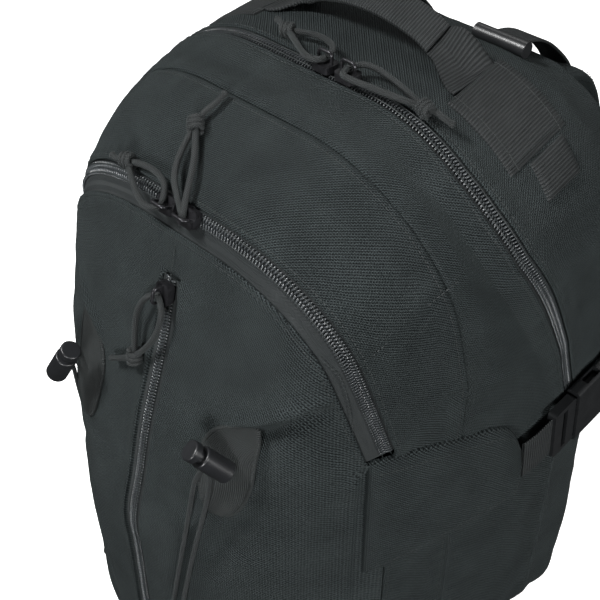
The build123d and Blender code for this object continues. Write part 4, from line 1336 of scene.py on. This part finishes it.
# ---------------- hard pieces that keep their CAD shape
HARD_NODES = {
    "slider_metal": ["main_zip_slider_left", "main_zip_slider_right", "front_zip_slider_left",
                     "front_zip_slider_right", "centre_zip_slider"],
    "buckle_plastic": ["side_buckle_male_left", "side_buckle_male_right", "side_buckle_females",
                       "sternum_buckle_male", "sternum_buckle_female", "waist_buckle_male",
                       "waist_buckle_female", "strap_adjusters", "load_lifter_rollers"],
    "lock_plastic": ["cord_lock_barrels", "cord_lock_button_left", "cord_lock_button_right"],
    "spring_steel": ["cord_lock_spring_left", "cord_lock_spring_right"],
    "frame_plastic": ["frame_sheet"],
    "lining": ["hydration_sleeve", "organiser_panel"],
}


def hard_pieces():
    """Finish the CAD pieces whose shape is already right, with softened edges."""
    for material, names in HARD_NODES.items():
        for name in names:
            node = NODES[name]
            node.data.materials.clear()
            node.data.materials.append(PALETTE[material])
            rounding = node.modifiers.new("soft_edges", "BEVEL")
            rounding.width = 0.5 * MM
            rounding.segments = 2
            rounding.limit_method = "ANGLE"
            rounding.angle_limit = math.radians(35)


# ---------------- stage, light and camera
SKY = 0.13  # strength of the soft light from all round above the floor
# Name, place in metres, size and power of each lamp; all look at the upper front of the pack
LAMPS = (
    ("key", (-0.45, -0.85, 1.65), 0.35, 34.0),
    ("front_fill", (0.9, -1.75, 0.55), 0.4, 30.0),
    ("right_fill", (1.7, 0.0, 0.75), 0.5, 24.0),
    ("top_rim", (-0.5, 0.9, 1.8), 0.6, 4.0),
)
LAMP_AIM = Vector((0.0, -0.05, 0.35))
EYE = Vector((0.4258, -0.4789, 0.8203))  # the camera's place in metres
EYE_BACK = Vector((0.5417, -0.5417, 0.6428))  # from the pack towards the camera


def white_floor():
    """A bright white floor that the camera sees, but that is left out of the light on the pack."""
    plane = bpy.data.meshes.new("floor")
    plane.from_pydata([(-6, -6, 0), (6, -6, 0), (6, 6, 0), (-6, 6, 0)], [], [(0, 1, 2, 3)])
    floor = bpy.data.objects.new("floor", plane)
    bpy.context.scene.collection.objects.link(floor)
    pale = Shader("floor_white", (0.93, 0.93, 0.93), 0.9, 0.1)
    pale.surface.inputs["Emission Color"].default_value = (1, 1, 1, 1)
    pale.surface.inputs["Emission Strength"].default_value = 0.9
    plane.materials.append(pale.material)
    floor.visible_diffuse = False
    floor.visible_glossy = False


def sky():
    """Soft light from all round above the floor."""
    world = bpy.data.worlds.new("studio")
    world.use_nodes = True
    tree = world.node_tree
    place = tree.nodes.new("ShaderNodeTexCoord")
    parts = tree.nodes.new("ShaderNodeSeparateXYZ")
    tree.links.new(place.outputs["Generated"], parts.inputs[0])
    rise = tree.nodes.new("ShaderNodeMapRange")
    for socket, value in (("From Min", -0.08), ("From Max", 0.02), ("To Min", 0.03), ("To Max", SKY)):
        rise.inputs[socket].default_value = value
    tree.links.new(parts.outputs["Z"], rise.inputs["Value"])
    tree.nodes["Background"].inputs["Color"].default_value = (1, 1, 1, 1)
    tree.links.new(rise.outputs[0], tree.nodes["Background"].inputs["Strength"])
    bpy.context.scene.world = world


def lamps():
    """The key light from the front left and above, two low fills, and a weak light from behind."""
    for name, place, size, power in LAMPS:
        light = bpy.data.lights.new(name, "AREA")
        light.size = size
        light.energy = power
        lamp = bpy.data.objects.new(name, light)
        lamp.location = place
        lamp.rotation_mode = "QUATERNION"
        lamp.rotation_quaternion = (LAMP_AIM - Vector(place)).to_track_quat("-Z", "Y")
        bpy.context.scene.collection.objects.link(lamp)


def camera():
    """The camera in front, to the right and above, close to the top of the pack."""
    lens = bpy.data.cameras.new("camera")
    lens.lens = 66.0
    lens.sensor_width = 36.0
    lens.clip_start = 0.02
    eye = bpy.data.objects.new("camera", lens)
    eye.location = EYE
    eye.rotation_mode = "QUATERNION"
    eye.rotation_quaternion = (-EYE_BACK).to_track_quat("-Z", "Y")
    bpy.context.scene.collection.objects.link(eye)
    bpy.context.scene.camera = eye
    bpy.context.scene.view_settings.view_transform = "Standard"


camera()
pull_cords()
shock_cords()
body_panels()
seam_threads()
zips()
side_wings()
side_straps()
grab_handle()
top_patches()
cord_tabs()
cord_anchors()
shoulder_straps()
load_lifters()
flat_straps()
pads()
hard_pieces()
white_floor()
sky()
lamps()
